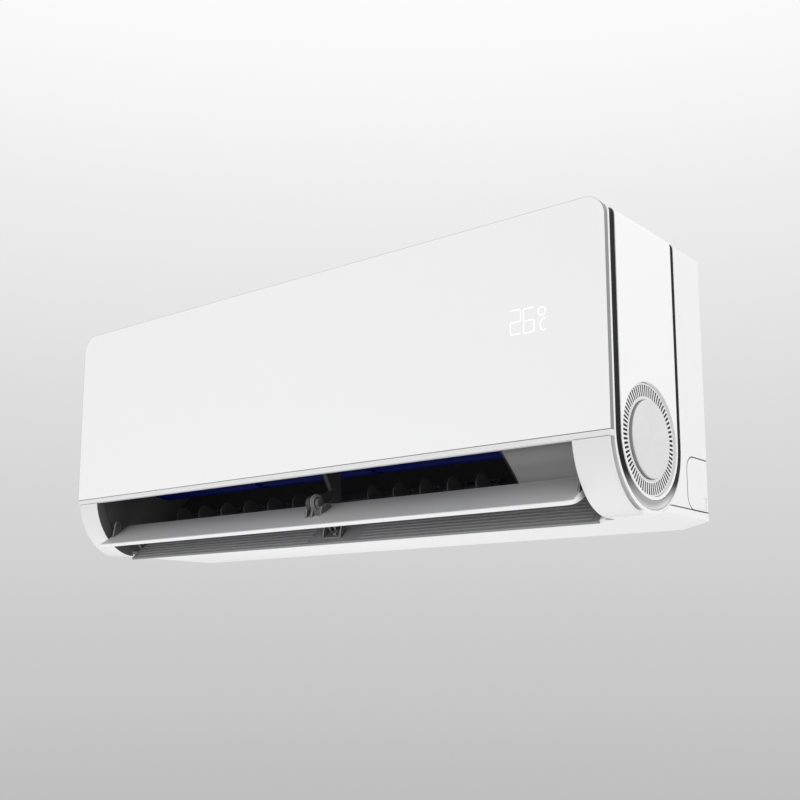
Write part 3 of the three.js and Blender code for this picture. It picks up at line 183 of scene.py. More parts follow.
def makeWorld(look):
    scene.world = bpy.data.worlds.new("studio")
    tree = emptyTree(scene.world)
    height = apart(tree, addNode(tree, "TexCoord").outputs["Generated"])["Z"]
    stops = [(sine, (linear(tone), linear(tone), linear(tone), 1)) for sine, tone in look["backdrop"]]
    ramp = colourRamp(tree, height, stops[0][0], stops[-1][0], stops)
    shown = addNode(tree, "Background", {"Color": ramp, "Strength": 1.0})
    level = addNode(tree, "Background", {"Color": (1, 1, 1, 1), "Strength": look["lightLevel"]})
    mixed = addNode(tree, "MixShader", {0: seenRays(tree, "Glossy", "Transmission"), 1: level, 2: shown})
    addNode(tree, "OutputWorld", {"Surface": mixed})


lampAim = (0, -0.1, -0.05)
lampLook = {
    "front": {"at": (-2.1, -2.3, 0.9), "size": 2.2, "watts": 9},
    "side": {"at": (3.0, -0.4, 0.7), "size": 2.4, "watts": 18},
    "under": {"at": (-0.1, -0.25, -1.1), "size": 1.7, "watts": 7},
}


def makeLamps(look):
    for name, lamp in look.items():
        data = bpy.data.lights.new("lamp_" + name, "AREA")
        data.shape, data.size, data.energy = "DISK", lamp["size"], lamp["watts"]
        made = linked("lamp_" + name, data)
        made.location = lamp["at"]
        made.rotation_euler = (Vector(lampAim) - Vector(lamp["at"])).to_track_quat("-Z", "Y").to_euler()
        made.visible_glossy = False


floorLook = {"height": -1.2, "radius": 3.4, "sides": 48, "fadeFrom": 1.9, "fadeTo": 3.332, "seenTone": 200,
             "tone": 236, "drift": 0.98, "grain": (2.5, 2.0), "roughness": 0.9}


# A flat disc that fades out towards its rim.
def makeFloor(look):
    rim = [(x, y, look["height"]) for x, y in circle(0, 0, look["radius"], look["sides"])]
    mesh = bpy.data.meshes.new("floor")
    mesh.from_pydata(rim, [], [list(range(look["sides"]))])
    material = bpy.data.materials.new("floor_paper")
    tree = emptyTree(material)
    spot = objectPlace(tree)
    flat = compute(tree, "MULTIPLY", spot, (1, 1, 0), kind="VectorMath")
    reach = compute(tree, "LENGTH", flat, kind="VectorMath").outputs["Value"]
    fade = ranged(tree, reach, look["fadeFrom"], look["fadeTo"], interpolation_type="SMOOTHSTEP")
    level, shown = linear(look["tone"]), linear(look["seenTone"])
    drift = ranged(tree, noise(tree, spot, *look["grain"]), 0.0, 1.0, level * look["drift"], level)
    seen = ranged(tree, seenRays(tree, "Glossy"), 0.0, 1.0, 1.0, shown / level)
    paper = addNode(tree, "BsdfPrincipled", {"Base Color": compute(tree, "MULTIPLY", drift, seen),
                                             "Roughness": look["roughness"]})
    mixed = addNode(tree, "MixShader", {0: fade, 1: paper, 2: addNode(tree, "BsdfTransparent")})
    addNode(tree, "OutputMaterial", {"Surface": mixed})
    mesh.materials.append(material)
    floor = linked("floor", mesh)


makeCamera(cameraLook)
makeWorld(worldLook)
makeLamps(lampLook)
makeFloor(floorLook)
print("studio ready")


# ---- shared shader groups ----
def makeGroup(name, inputs, outputs):
    tree = bpy.data.node_groups.new(name, "ShaderNodeTree")
    for label, value in inputs.items():
        kind = "NodeSocketColor" if isinstance(value, tuple) else "NodeSocketFloat"
        tree.interface.new_socket(label, in_out="INPUT", socket_type=kind).default_value = value
    for label, kind in outputs.items():
        tree.interface.new_socket(label, in_out="OUTPUT", socket_type=kind)
    return tree, addNode(tree, "NodeGroupInput").outputs, addNode(tree, "NodeGroupOutput")


# In the groups' looks a noise is (scale, detail) and a height is in metres.
grainLook = {"given": {"Scale": 900.0, "Depth": 0.05, "Ripple": 0.02}, "fineDetail": 2.0, "fineRough": 0.55,
             "fineHeight": 0.0004, "slow": (14.0, 1.0), "slowHeight": 0.01}
driftLook = {"given": {"Colour": (0.8, 0.8, 0.8, 1), "Amount": 0.03, "Dust": 0.1}, "slow": (5.0, 2.0),
             "fine": (130.0, 3.0), "fineShare": 0.3, "facingUp": (0.55, 0.98), "specks": (0.35, 0.75),
             "dustColour": (0.42, 0.40, 0.37, 1)}
brushLook = {"given": {"Depth": 0.1}, "stretch": (6, 2600, 2600), "lines": (1.0, 2.0), "height": 0.0002}


# Fine moulded grain: a dense noise over a slower ripple, as a bump.
def grainGroup(look):
    tree, given, result = makeGroup("moulded_grain", look["given"], {"Normal": "NodeSocketVector"})
    spot = objectPlace(tree)
    fine = noise(tree, spot, given["Scale"], look["fineDetail"])
    feed(fine, {"Roughness": look["fineRough"]})
    ripple = bump(tree, noise(tree, spot, *look["slow"]), given["Ripple"], look["slowHeight"])
    feed(result, {"Normal": bump(tree, fine, given["Depth"], look["fineHeight"], Normal=ripple)})
    return tree


# Slow drift of tone, small mottle, and settled dust on what faces up.
def driftGroup(look):
    tree, given, result = makeGroup("tone_drift", look["given"],
                                    {"Colour": "NodeSocketColor", "Rough": "NodeSocketFloat"})
    spot = objectPlace(tree)
    fine, slow = noise(tree, spot, *look["fine"]), noise(tree, spot, *look["slow"])
    both = addNode(tree, "Mix", {"Factor": look["fineShare"], "A": slow, "B": fine})
    keep = compute(tree, "SUBTRACT", 1.0, compute(tree, "MULTIPLY", both, given["Amount"]))
    up = apart(tree, addNode(tree, "NewGeometry").outputs["Normal"])["Z"]
    dust = compute(tree, "MULTIPLY", ranged(tree, up, *look["facingUp"]), ranged(tree, fine, *look["specks"]))
    dust = compute(tree, "MULTIPLY", dust, given["Dust"])
    dusty = addNode(tree, "Mix", {"Factor": dust, 6: scaled(tree, given["Colour"], keep),
                                  7: look["dustColour"]}, data_type="RGBA")
    feed(result, {"Colour": dusty.outputs[2], "Rough": compute(tree, "ADD", both, dust)})
    return tree


# Fine lines along X, for brushed and drawn metal.
def brushGroup(look):
    tree, given, result = makeGroup("brushed_lines", look["given"],
                                    {"Lines": "NodeSocketFloat", "Normal": "NodeSocketVector"})
    drawn = addNode(tree, "Mapping", {"Vector": objectPlace(tree), "Scale": look["stretch"]})
    lines = noise(tree, drawn, *look["lines"])
    feed(result, {"Lines": lines, "Normal": bump(tree, lines, given["Depth"], look["height"])})
    return tree


grainTree, driftTree, brushTree = grainGroup(grainLook), driftGroup(driftLook), brushGroup(brushLook)


# A material whose base colour drifts; a look without a colour links its own to the drift.
def startMaterial(name, look):
    material = bpy.data.materials.new(name)
    tree = emptyTree(material)
    drift = addNode(tree, "Group", node_tree=driftTree)
    feed(drift, {"Amount": look["drift"], "Dust": look["dust"]})
    if "colour" in look:
        feed(drift, {"Colour": (*look["colour"], 1)})
    surface = addNode(tree, "BsdfPrincipled", {"Base Color": drift})
    addNode(tree, "OutputMaterial", {"Surface": surface})
    return material, tree, drift, surface


plasticBase = {"drift": 0.03, "dust": 0.08, "grainScale": 1100, "grain": 0.05, "ripple": 0.01, "ior": 1.46,
               "coat": 0.0, "coatRough": 0.06, "uneven": (0.9, 1.15)}
metalBase = {"drift": 0.06, "dust": 0.05, "lines": 0.05, "metallic": 1.0, "uneven": (0.8, 1.25)}


# A moulded plastic: drifting tone, uneven gloss, fine grain.
def plastic(name, look):
    look = {**plasticBase, **look}
    material, tree, drift, surface = startMaterial(name, look)
    grain = addNode(tree, "Group", node_tree=grainTree)
    feed(grain, {"Scale": look["grainScale"], "Depth": look["grain"], "Ripple": look["ripple"]})
    feed(surface, {"Normal": grain, "Roughness": uneven(tree, drift.outputs["Rough"], look), "IOR": look["ior"],
                   "Coat Weight": look["coat"], "Coat Roughness": look["coatRough"]})
    return material


# A metal: brushed lines change its gloss and its bump.
def metal(name, look):
    look = {**metalBase, **look}
    material, tree, drift, surface = startMaterial(name, look)
    brush = addNode(tree, "Group", node_tree=brushTree)
    feed(brush, {"Depth": look["lines"]})
    feed(surface, {"Normal": brush.outputs["Normal"], "Metallic": look["metallic"],
                   "Roughness": uneven(tree, brush.outputs["Lines"], look)})
    return material


# ---- mesh helpers ----
def gather(parts):
    points, faces, base = [], [], 0
    for corners, sides in parts:
        points.append(np.asarray(corners, float))
        faces += [[i + base for i in side] for side in sides]
        base += len(corners)
    return np.concatenate(points), faces


# An outline pushed along one axis; its two numbers are the other two axes in order.
def prism(outline, axis, low, high):
    flat = np.asarray(outline, float)
    count = len(flat)
    points = np.zeros((2 * count, 3))
    others = [i for i in range(3) if i != axis]
    for side, value in enumerate((low, high)):
        points[side * count:(side + 1) * count, others[0]] = flat[:, 0]
        points[side * count:(side + 1) * count, others[1]] = flat[:, 1]
        points[side * count:(side + 1) * count, axis] = value
    ring = np.arange(count)
    onward = np.roll(ring, -1)
    walls = np.stack([ring, onward, onward + count, ring + count], 1).tolist()
    return points, walls + [ring[::-1].tolist(), (ring + count).tolist()]


def block(x0, x1, y0, y1, z0, z1):
    return prism([(y0, z0), (y1, z0), (y1, z1), (y0, z1)], 0, x0, x1)


# Rings of equal count joined by quads; the end rings are closed with one face each.
def loft(rings, joined=False):
    rings = np.asarray(rings, float)
    count, around = rings.shape[:2]
    index = np.arange(count * around).reshape(count, around)
    low, high = (index, np.roll(index, -1, 0)) if joined else (index[:-1], index[1:])
    faces = np.stack([low, np.roll(low, -1, 1), np.roll(high, -1, 1), high], -1).reshape(-1, 4).tolist()
    if not joined:
        faces += [index[0][::-1].tolist(), index[-1].tolist()]
    return rings.reshape(-1, 3), faces


def mirrored(parts):
    return [(np.asarray(points) * (-1, 1, 1), faces) for points, faces in parts]


# A profile of (distance along the axis, radius) turned round an axis parallel to X.
def turnedX(profile, y, z, sides):
    rings = [[(x, y + r * cos(2 * pi * i / sides), z + r * sin(2 * pi * i / sides)) for i in range(sides)]
             for x, r in profile]
    return loft(rings)


# A closed profile of (distance along X, radius) carried round an axis parallel to X.
def ringX(profile, y, z, sides):
    return loft([[(x, y + r * cos(a), z + r * sin(a)) for x, r in profile]
                 for a in np.linspace(0, 2 * pi, sides + 1)[:-1]], joined=True)


def bandX(inner, outer, back, face, y, z, sides):
    return ringX([(back, inner), (back, outer), (face, outer), (face, inner)], y, z, sides)


def discX(radius, back, face, y, z, sides):
    return turnedX([(back, 0.01), (back, radius), (face, radius), (face, 0.01)], y, z, sides)


def hull(points):
    ordered = sorted(set((round(a, 5), round(b, 5)) for a, b in points))

    def half(sequence):
        kept = []
        for p in sequence:
            while len(kept) > 1 and ((kept[-1][0] - kept[-2][0]) * (p[1] - kept[-2][1])
                                     - (kept[-1][1] - kept[-2][1]) * (p[0] - kept[-2][0])) <= 0:
                kept.pop()
            kept.append(p)
        return kept[:-1]
    return half(ordered) + half(ordered[::-1])


def finishMesh(made, smooth, bevel, segments, highlightEdges=False):
    mesh = made.data
    mesh.polygons.foreach_set("use_smooth", [True] * len(mesh.polygons))
    mesh.set_sharp_from_angle(angle=radians(smooth))
    if bevel:
        soft = made.modifiers.new("soft_edges", "BEVEL")
        soft.width = bevel / 1000
        soft.segments = segments
        soft.limit_method = "ANGLE"
        soft.angle_limit = radians(smooth)
        soft.harden_normals = True
        soft.use_clamp_overlap = True
        soft.miter_outer = "MITER_ARC"
        # With an edge material, the bevel faces take it: a lighter colour painted on the rounded edges as a highlight.
        soft.material = 1 if highlightEdges else -1


def place(made, body, look, replaced=(), edge=None):
    made.data.materials.clear()
    for name in (look, edge) if edge else (look,):
        made.data.materials.append(paint[name])
    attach(made, body)
    if replaced:
        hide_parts(*replaced)


# A new piece from closed parts given in mm.
def piece(name, parts, body, look, slotName, replaced=(), bevel=0.0, segments=2, smooth=34, edge=None):
    points, faces = gather(parts)
    mesh = bpy.data.meshes.new(name)
    mesh.from_pydata(toRow(points).tolist(), [], faces)
    work = bmesh.new()
    work.from_mesh(mesh)
    bmesh.ops.recalc_face_normals(work, faces=work.faces)
    work.to_mesh(mesh)
    work.free()
    made = linked(name, mesh)
    finishMesh(made, smooth, bevel, segments, edge is not None)
    place(made, body, look, replaced, edge)


# A piece of one side, from parts drawn for the right side.
def sidePiece(side, ending, parts, look, slotName, replaced="", body="housing", **shape):
    parts = parts if side == "right" else mirrored(parts)
    piece(side + ending, parts, body, look, slotName, (side + replaced,) if replaced else (), **shape)


mergeGap, flatAngle = 2e-6, radians(0.4)


# A copy of a node: points merged, flat faces joined, edges softened.
def refined(nodeName, look, bevel=0.4, segments=2, smooth=34, edge=None):
    mesh = nodes[nodeName].data.copy()
    if "custom_normal" in mesh.attributes:
        mesh.attributes.remove(mesh.attributes["custom_normal"])
    work = bmesh.new()
    work.from_mesh(mesh)
    bmesh.ops.remove_doubles(work, verts=work.verts, dist=mergeGap)
    bmesh.ops.dissolve_limit(work, angle_limit=flatAngle, verts=work.verts, edges=work.edges)
    work.to_mesh(mesh)
    work.free()
    made = linked(nodeName + "_fine", mesh)
    finishMesh(made, smooth, bevel, segments, edge is not None)
    place(made, bodyOf[nodeName], look, (nodeName,), edge)


liningSize = {"cap": 404, "cheek": 407, "near": 0.3, "facing": 0.99, "thick": 0.12}


# A thin skin laid on a node's flat inward faces, at a distance from the unit's middle.
def lining(side, ending, nodeName, plane, size):
    inward = 1 if side == "left" else -1
    work = bmesh.new()
    work.from_mesh(nodes[nodeName].data)
    bmesh.ops.remove_doubles(work, verts=work.verts, dist=mergeGap)
    work.normal_update()
    spare = [face for face in work.faces if face.normal.x * inward < size["facing"]
             or abs(abs(face.calc_center_median().x) * 1000 - plane) > size["near"]]
    bmesh.ops.delete(work, geom=spare, context="FACES")
    bmesh.ops.dissolve_limit(work, angle_limit=flatAngle, verts=work.verts, edges=work.edges)
    normals = [face.normal.copy() for face in work.faces]
    front = bmesh.ops.extrude_face_region(work, geom=work.faces[:])["geom"]
    lift = sum(normals, Vector()).normalized() * size["thick"] / 1000
    bmesh.ops.translate(work, vec=lift, verts=[v for v in front if isinstance(v, bmesh.types.BMVert)])
    bmesh.ops.recalc_face_normals(work, faces=work.faces)
    mesh = bpy.data.meshes.new(side + ending)
    work.to_mesh(mesh)
    work.free()
    place(linked(side + ending, mesh), bodyOf[nodeName], "cheek")


# ---- outlines shared by several pieces ----
drumRadius, toeRadius, kneeAngle = 92.0, 64.5, 225.0
drumY = -235 + drumRadius
toeRise = (drumRadius - toeRadius) * sqrt(0.5)
drumZ = toeRadius + toeRise
toeY = drumY - toeRise
capTop = 74.6
sideX = 447.5


def skinPoint(angle, inset):
    onDrum = angle < kneeAngle
    radius = (drumRadius if onDrum else toeRadius) - inset
    y, z = (drumY, drumZ) if onDrum else (toeY, toeRadius)
    return (y + radius * cos(radians(angle)), z + radius * sin(radians(angle)))


def skinRun(first, last, inset, steps):
    return [skinPoint(first + (last - first) * i / steps, inset) for i in range(steps + 1)]


def between(p, q, share):
    return (p[0] + (q[0] - p[0]) * share, p[1] + (q[1] - p[1]) * share)


# Points at (distance, lift) from a line's start: along the line, and square to it.
def alongLine(start, end, shape):
    run = dist(start, end)
    a, b = (end[0] - start[0]) / run, (end[1] - start[1]) / run
    return [(start[0] + a * d - b * lift, start[1] + b * d + a * lift) for d, lift in shape]


def swung(part, pivotY, pivotZ, angle):
    points = np.array(part[0], float)
    y, z = points[:, 1] - pivotY, points[:, 2] - pivotZ
    points[:, 1] = pivotY + y * cos(radians(angle)) - z * sin(radians(angle))
    points[:, 2] = pivotZ + y * sin(radians(angle)) + z * cos(radians(angle))
    return points, part[1]



# A flap's parts are drawn closed, and turned to the open pose that the part rests in.
def opened(size, parts):
    return [swung(part, *size["pivot"], size["open"]) for part in parts]


# ---- materials ----
looks = {
    "gloss": {"colour": (0.885, 0.885, 0.89), "roughness": 0.17, "grain": 0.012, "ripple": 0.004, "drift": 0.012,
              "coat": 0.35, "dust": 0.05},
    "cap": {"colour": (0.751, 0.751, 0.756), "roughness": 0.22, "grain": 0.015, "ripple": 0.004, "drift": 0.015,
            "coat": 0.25},
    "moulding": {"colour": (0.86, 0.86, 0.865), "roughness": 0.30, "grain": 0.03, "drift": 0.02},
    "chassis": {"colour": (0.845, 0.845, 0.85), "roughness": 0.42, "grain": 0.09, "grainScale": 1400,
                "drift": 0.025},
    "edge": {"colour": (0.24, 0.24, 0.245), "roughness": 0.38, "grain": 0.05, "drift": 0.05},
    "ring": {"colour": (0.82, 0.82, 0.825), "roughness": 0.32, "grain": 0.02, "drift": 0.02},
    "duct": {"colour": (0.055, 0.055, 0.057), "roughness": 0.50, "grain": 0.10, "drift": 0.25, "dust": 0.04},
    "pillar": {"colour": (0.060, 0.060, 0.062), "roughness": 0.45, "grain": 0.08, "drift": 0.15, "dust": 0.04},
    # The vane edge colour is a painted highlight on the vanes' rounded edges.
    "vaneEdgeHighlight": {"colour": (0.20, 0.20, 0.205), "roughness": 0.4, "grain": 0.04, "drift": 0.1},
    "cheek": {"colour": (0.095, 0.095, 0.098), "roughness": 0.48, "grain": 0.08, "drift": 0.15, "dust": 0.04},
    "arm": {"colour": (0.105, 0.105, 0.108), "roughness": 0.34, "grain": 0.04, "drift": 0.1},
    # A pale grey, used plainly on the panel seam and the hub tab, and as a painted highlight on the rounded edges of
    # dark arms, lugs, hub and bracket.
    "greyAndHighlight": {"colour": (0.36, 0.36, 0.365), "roughness": 0.36, "grain": 0.04, "drift": 0.05},
    "gasket": {"colour": (0.055, 0.055, 0.057), "roughness": 0.7, "grain": 0.1, "drift": 0.2},
    "discSide": {"colour": (0.27, 0.27, 0.275), "roughness": 0.4, "grain": 0.03, "drift": 0.05},
    "vane": {"colour": (0.060, 0.060, 0.062), "roughness": 0.40, "grain": 0.06, "drift": 0.2, "dust": 0.04},
    "liner": {"colour": (0.47, 0.472, 0.48), "roughness": 0.40, "grain": 0.06, "drift": 0.04},
    "ribs": {"colour": (0.235, 0.236, 0.241), "roughness": 0.42, "grain": 0.06, "drift": 0.06},
    "fan": {"colour": (0.0008, 0.006, 0.125), "roughness": 0.5, "ior": 1.25, "grain": 0.03, "drift": 0.1, "dust": 0.02},
    "rubber": {"colour": (0.012, 0.012, 0.012), "roughness": 0.75, "grain": 0.15, "drift": 0.2},
    "motor": {"colour": (0.022, 0.022, 0.025), "roughness": 0.45, "grain": 0.08, "drift": 0.2},
    "box": {"colour": (0.48, 0.48, 0.49), "roughness": 0.5, "grain": 0.10, "drift": 0.06},
    "board": {"colour": (0.012, 0.14, 0.045), "roughness": 0.38, "grain": 0.08, "drift": 0.12},
    "filter": {"colour": (0.04, 0.04, 0.043), "roughness": 0.55, "grain": 0.1, "drift": 0.15, "dust": 0.3},
    # Near black painted shade: the band behind the vent slots and the plug in the hub tab's hole.
    "shadeBlack": {"colour": (0.012, 0.012, 0.013), "roughness": 0.7, "grain": 0.3, "grainScale": 700, "drift": 0.3},
}
metalLooks = {
    "trim": {"colour": (0.88, 0.88, 0.89), "roughness": 0.24, "lines": 0.04, "drift": 0.02, "metallic": 0.35},
    "steel": {"colour": (0.55, 0.55, 0.57), "roughness": 0.3, "lines": 0.1},
    "zinc": {"colour": (0.58, 0.59, 0.61), "roughness": 0.42, "lines": 0.05, "drift": 0.15},
    "copper": {"colour": (0.70, 0.32, 0.16), "roughness": 0.3, "lines": 0.03, "drift": 0.25},
}
paint = {name: plastic(name, look) for name, look in looks.items()}
paint.update({name: metal(name, look) for name, look in metalLooks.items()})

# Painted reflection: the channel's colour runs from bright at the bottom to dark up its legs.
channelLook = {"dark": 0.035, "bright": 0.72, "reflectionDarkAbove": 46, "reflectionBrightBelow": 14, "roughness": 0.2,
               "uneven": (0.85, 1.2), "metallic": 0.85, "drift": 0.04, "dust": 0.03}


def rowHeight(z):
    return (z - plateMiddle) / 1000


# Bright metal film whose colour darkens up the two legs of the channel: a painted reflection, bright near the bottom
# and dark higher up.
def channelMaterial(look):
    material, tree, drift, surface = startMaterial("channel_film", look)
    height = apart(tree, objectPlace(tree))["Z"]
    feed(drift, {"Colour": ranged(tree, height, rowHeight(look["reflectionBrightBelow"]), rowHeight(look["reflectionDarkAbove"]),
                                  look["bright"], look["dark"], interpolation_type="SMOOTHSTEP")})
    feed(surface, {"Metallic": look["metallic"], "Roughness": uneven(tree, drift.outputs["Rough"], look)})
    return material


paint["channel"] = channelMaterial(channelLook)

# The sheen values paint a spun metal's highlight as tone that changes round the disc.
discLook = {"colour": (0.78, 0.78, 0.79), "roughness": 0.30, "uneven": (0.85, 1.2), "metallic": 0.25,
            "drift": 0.015, "dust": 0.02, "sheenStreak": 0.035, "sheenLobes": 3.0, "sheenLobeShare": 0.35, "rays": (3.5, 1.0),
            "grooves": 0.02, "grooveNoise": (3000.0, 1.0), "grooveHeight": 0.0003, "centre": (-143.0, 84.0)}


# Turned face: its tone varies with the angle round the disc's centre as a painted sheen of spun metal; gloss varies
# with the same angle, and fine circular grooves make a bump.
def discMaterial(look):
    material, tree, drift, surface = startMaterial("turned_disc", look)
    spot = apart(tree, objectPlace(tree))
    centre = toRow((0, *look["centre"]))
    across = compute(tree, "SUBTRACT", spot["Y"], centre[1])
    above = compute(tree, "SUBTRACT", spot["Z"], centre[2])
    angle = compute(tree, "ARCTAN2", above, across)
    sheenWave = compute(tree, "SINE", compute(tree, "MULTIPLY", angle, look["sheenLobes"]))
    rays = lineNoise(tree, angle, *look["rays"])
    mixed = compute(tree, "MULTIPLY_ADD", sheenWave, look["sheenLobeShare"], rays)
    keep = ranged(tree, mixed, 0.0, 1.0, 1.0 - look["sheenStreak"], 1.0)
    flat = addNode(tree, "CombineXYZ", {"X": across, "Y": above})
    reach = compute(tree, "LENGTH", flat, kind="VectorMath").outputs["Value"]
    groove = lineNoise(tree, reach, *look["grooveNoise"])
    feed(surface, {"Base Color": scaled(tree, drift, keep), "Metallic": look["metallic"],
                   "Normal": bump(tree, groove, look["grooves"], look["grooveHeight"]),
                   "Roughness": uneven(tree, rays, look)})
    return material


paint["turned"] = discMaterial(discLook)

# Painted shade and light: tones by height, darkest next to the panel trim above.
bayLook = {"paintedShadeHeights": [(50, 0.34), (62, 0.42), (70, 0.42), (80, 0.46), (90, 0.40), (97, 0.14)], "roughness": 0.4,
           "uneven": (0.9, 1.15), "drift": 0.05, "dust": 0.05}


# Grey moulding with painted shade and light: its colour is darkest towards the panel trim, which shades it, and
# lightest a little below the middle.
def bayMaterial(look):
    material, tree, drift, surface = startMaterial("bay_moulding", look)
    stops = [(z, (tone, tone, tone * 1.01, 1)) for z, tone in look["paintedShadeHeights"]]
    height = apart(tree, objectPlace(tree))["Z"]
    feed(drift, {"Colour": colourRamp(tree, height, rowHeight(stops[0][0]), rowHeight(stops[-1][0]), stops)})
    feed(surface, {"Normal": addNode(tree, "Group", node_tree=grainTree),
                   "Roughness": uneven(tree, drift.outputs["Rough"], look)})
    return material


paint["bay"] = bayMaterial(bayLook)

# The gap tone is painted shade between the fins.
finLook = {"pitch": 1.6, "colour": (0.55, 0.56, 0.57), "gapShade": 0.12, "gap": (0.3, 0.42),
           "relief": 0.5, "height": 0.0006, "roughness": 0.4, "uneven": (0.9, 1.2), "metallic": 0.7, "drift": 0.12,
           "dust": 0.1}


# Stacked fins: thin pale plates across X, with the dark gaps between them painted in as shade; the same pattern gives
# their relief.
def finMaterial(look):
    material, tree, drift, surface = startMaterial("stacked_fins", look)
    along = apart(tree, objectPlace(tree))["X"]
    saw = compute(tree, "FRACT", compute(tree, "DIVIDE", along, look["pitch"] / 1000))
    fin = ranged(tree, saw, *look["gap"], look["gapShade"], 1.0)
    feed(surface, {"Base Color": scaled(tree, drift, fin), "Metallic": look["metallic"],
                   "Normal": bump(tree, fin, look["relief"], look["height"]),
                   "Roughness": uneven(tree, drift.outputs["Rough"], look)})
    return material


paint["fins"] = finMaterial(finLook)

glowLook = {"colour": (0.95, 0.95, 0.95), "strength": 0.25, "roughness": 0.3, "uneven": (1, 4 / 3), "drift": 0.02,
            "dust": 0.0}


def glowMaterial(look):
    material, tree, drift, surface = startMaterial("display_glow", look)
    feed(surface, {"Emission Color": drift, "Emission Strength": look["strength"],
                   "Roughness": uneven(tree, drift.outputs["Rough"], look)})
    return material


paint["glow"] = glowMaterial(glowLook)
print("materials ready:", len(paint))

# ---- front panel ----
panelSize = {"half": 449.95, "low": 82.05, "high": 334.55, "corner": 23.95, "front": -235.1, "depth": 2.6,
             "lip": 0.75, "step": 0.9, "easing": 0.55, "cornerSteps": 18,
             "seam": (-449.2, 449.2, -234.2, -231.0, 81.5, 82.2)}


def panelOutline(size, inset):
    half, low, high = size["half"] - inset, size["low"] + inset, size["high"] - inset
    round0 = size["corner"] - inset
    steps = size["cornerSteps"]
    right = [(half - round0 + round0 * sin(pi / 2 * i / steps), high - round0 + round0 * cos(pi / 2 * i / steps))
             for i in range(steps + 1)]
    return [(-half, low), (half, low)] + right[::-1] + [(-x, z) for x, z in right]


# Rings of the outline from the back edge, round a quarter circle of easing, to just inside the face.
def panelSkin(size):
    easing, front, back = size["easing"], size["front"], size["front"] + size["depth"]
    stations = [(size["step"], back), (size["step"], front + size["lip"]), (0.0, front + size["lip"])]
    stations += [(easing * (1 - cos(a)), front + easing * (1 - sin(a))) for a in np.linspace(0, pi / 2, 6)]
    stations += [(easing + 0.5, front)]
    return loft([[(x, y, z) for x, z in panelOutline(size, inset)] for inset, y in stations])


piece("front_panel_skin", [panelSkin(panelSize)], "panel", "gloss", "gloss_white", ("front_panel",), smooth=50)
refined("panel_frame", "edge", bevel=0.7, segments=3)
refined("panel_trim", "trim", bevel=0.45, segments=3)
piece("panel_seam", [block(*panelSize["seam"])], "panel", "greyAndHighlight", "grey_edge")

# Each digit has its left edge, its middle and its lit segments.
displaySize = {"stroke": 1.15, "proud": 0.06, "sunk": 0.4, "digitHalf": 13.6, "digitWide": 13.4, "gap": 0.9,
               "digits": ((331.0, 213.8, "abged"), (348.0, 212.9, "afgedc")), "ring": (371.4, 219.9, 4.6, 28),
               "hook": ((376.0, 211.6), (372.6, 211.9), (370.2, 209.6), (369.2, 206.0), (369.2, 202.6),
                        (370.6, 199.9), (373.0, 199.0), (375.4, 199.2))}


# A round-ended stroke that stands just above the face.
def stroke(start, end, size):
    half = size["stroke"] / 2
    shape = [(far + cos(turn) * sign * half, sin(turn) * sign * half)
             for far, sign in ((dist(start, end), 1), (0, -1)) for turn in np.linspace(-pi / 2, pi / 2, 5)]
    front = panelSize["front"]
    return prism(alongLine(start, end, shape), 1, front - size["proud"], front + size["sunk"])


def displayParts(size):
    lines = []
    gap = size["gap"]
    for left, mid, lit in size["digits"]:
        right, low, high = left + size["digitWide"], mid - size["digitHalf"], mid + size["digitHalf"]
        segments = {
            "a": ((left + gap, high), (right - gap, high)), "g": ((left + gap, mid), (right - gap, mid)),
            "d": ((left + gap, low), (right - gap, low)), "f": ((left, high - gap), (left, mid + gap)),
            "b": ((right, high - gap), (right, mid + gap)), "e": ((left, mid - gap), (left, low + gap)),
            "c": ((right, mid - gap), (right, low + gap)),
        }
        lines += [segments[k] for k in lit]
    ring = circle(*size["ring"])
    for line in (ring + ring[:1], size["hook"]):
        lines += zip(line, line[1:])
    return [stroke(*line, size) for line in lines]


piece("display_digits", displayParts(displaySize), "panel", "glow", "gloss_white")
print("front panel made")

# ---- casing, side covers and vents ----
refined("front_casing", "moulding", bevel=0.7, segments=3)
refined("rear_chassis", "chassis", bevel=0.5)
refined("bottom_cover", "moulding", bevel=0.5)
for side in ("left", "right"):
    refined(side + "_pill_cover", "gloss", bevel=0.7, segments=3)
    refined(side + "_pipe_cover", "chassis", bevel=0.3)
    refined(side + "_end_cap", "cap", bevel=0.5, segments=3, smooth=30)
    lining(side, "_cap_lining", side + "_end_cap", liningSize["cap"], liningSize)

gasketSize = {"face": 447.56, "back": 445.2, "low": 17.8, "high": 78.0, "front": -54.0, "rear": -0.9,
              "round": 16.0, "roundSteps": 12, "thin": 0.05, "thick": 1.2,
              "seam": (16.8, 17.95), "seamReach": (-97.0, -0.6)}


# The corner cover's outline, grown by a clearance: two straight edges and two rounded corners.
def coverOutline(size, clear):
    low, high = size["low"] - clear, size["high"] + clear
    rounding = size["round"] + clear
    y = size["front"] - clear + rounding
    arcs = [(y + rounding * cos(a), middle + rounding * sin(a))
            for middle, first in ((high - rounding, pi / 2), (low + rounding, pi))
            for a in np.linspace(first, first + pi / 2, size["roundSteps"])]
    return [(size["rear"], high)] + arcs + [(size["rear"], low)]


# A dark strip set in the gap round the cover, and one along the seam of the bottom cover.
def gasketParts(size):
    back, face = size["back"], size["face"]
    rings = [[(back, *p), (back, *q), (face, *q), (face, *p)]
             for p, q in zip(coverOutline(size, size["thin"]), coverOutline(size, size["thick"]))]
    return [loft(rings), block(back, face, *size["seamReach"], *size["seam"])]


for side in ("left", "right"):
    sidePiece(side, "_gasket", gasketParts(gasketSize), "gasket", "rubber")

# The outer and the inner edge each have a front, a rear and a drop below the bend.
channelSize = {"edges": ((-219.8, -68.7, 76.8), (-209.2, -76.8, 66.2)), "bend": 84.0, "edge": 0.15,
               "deep": 3.3, "back": 4.1, "top": 328.0, "round": 9.0, "end": 430.0, "steps": 40, "across": 10}


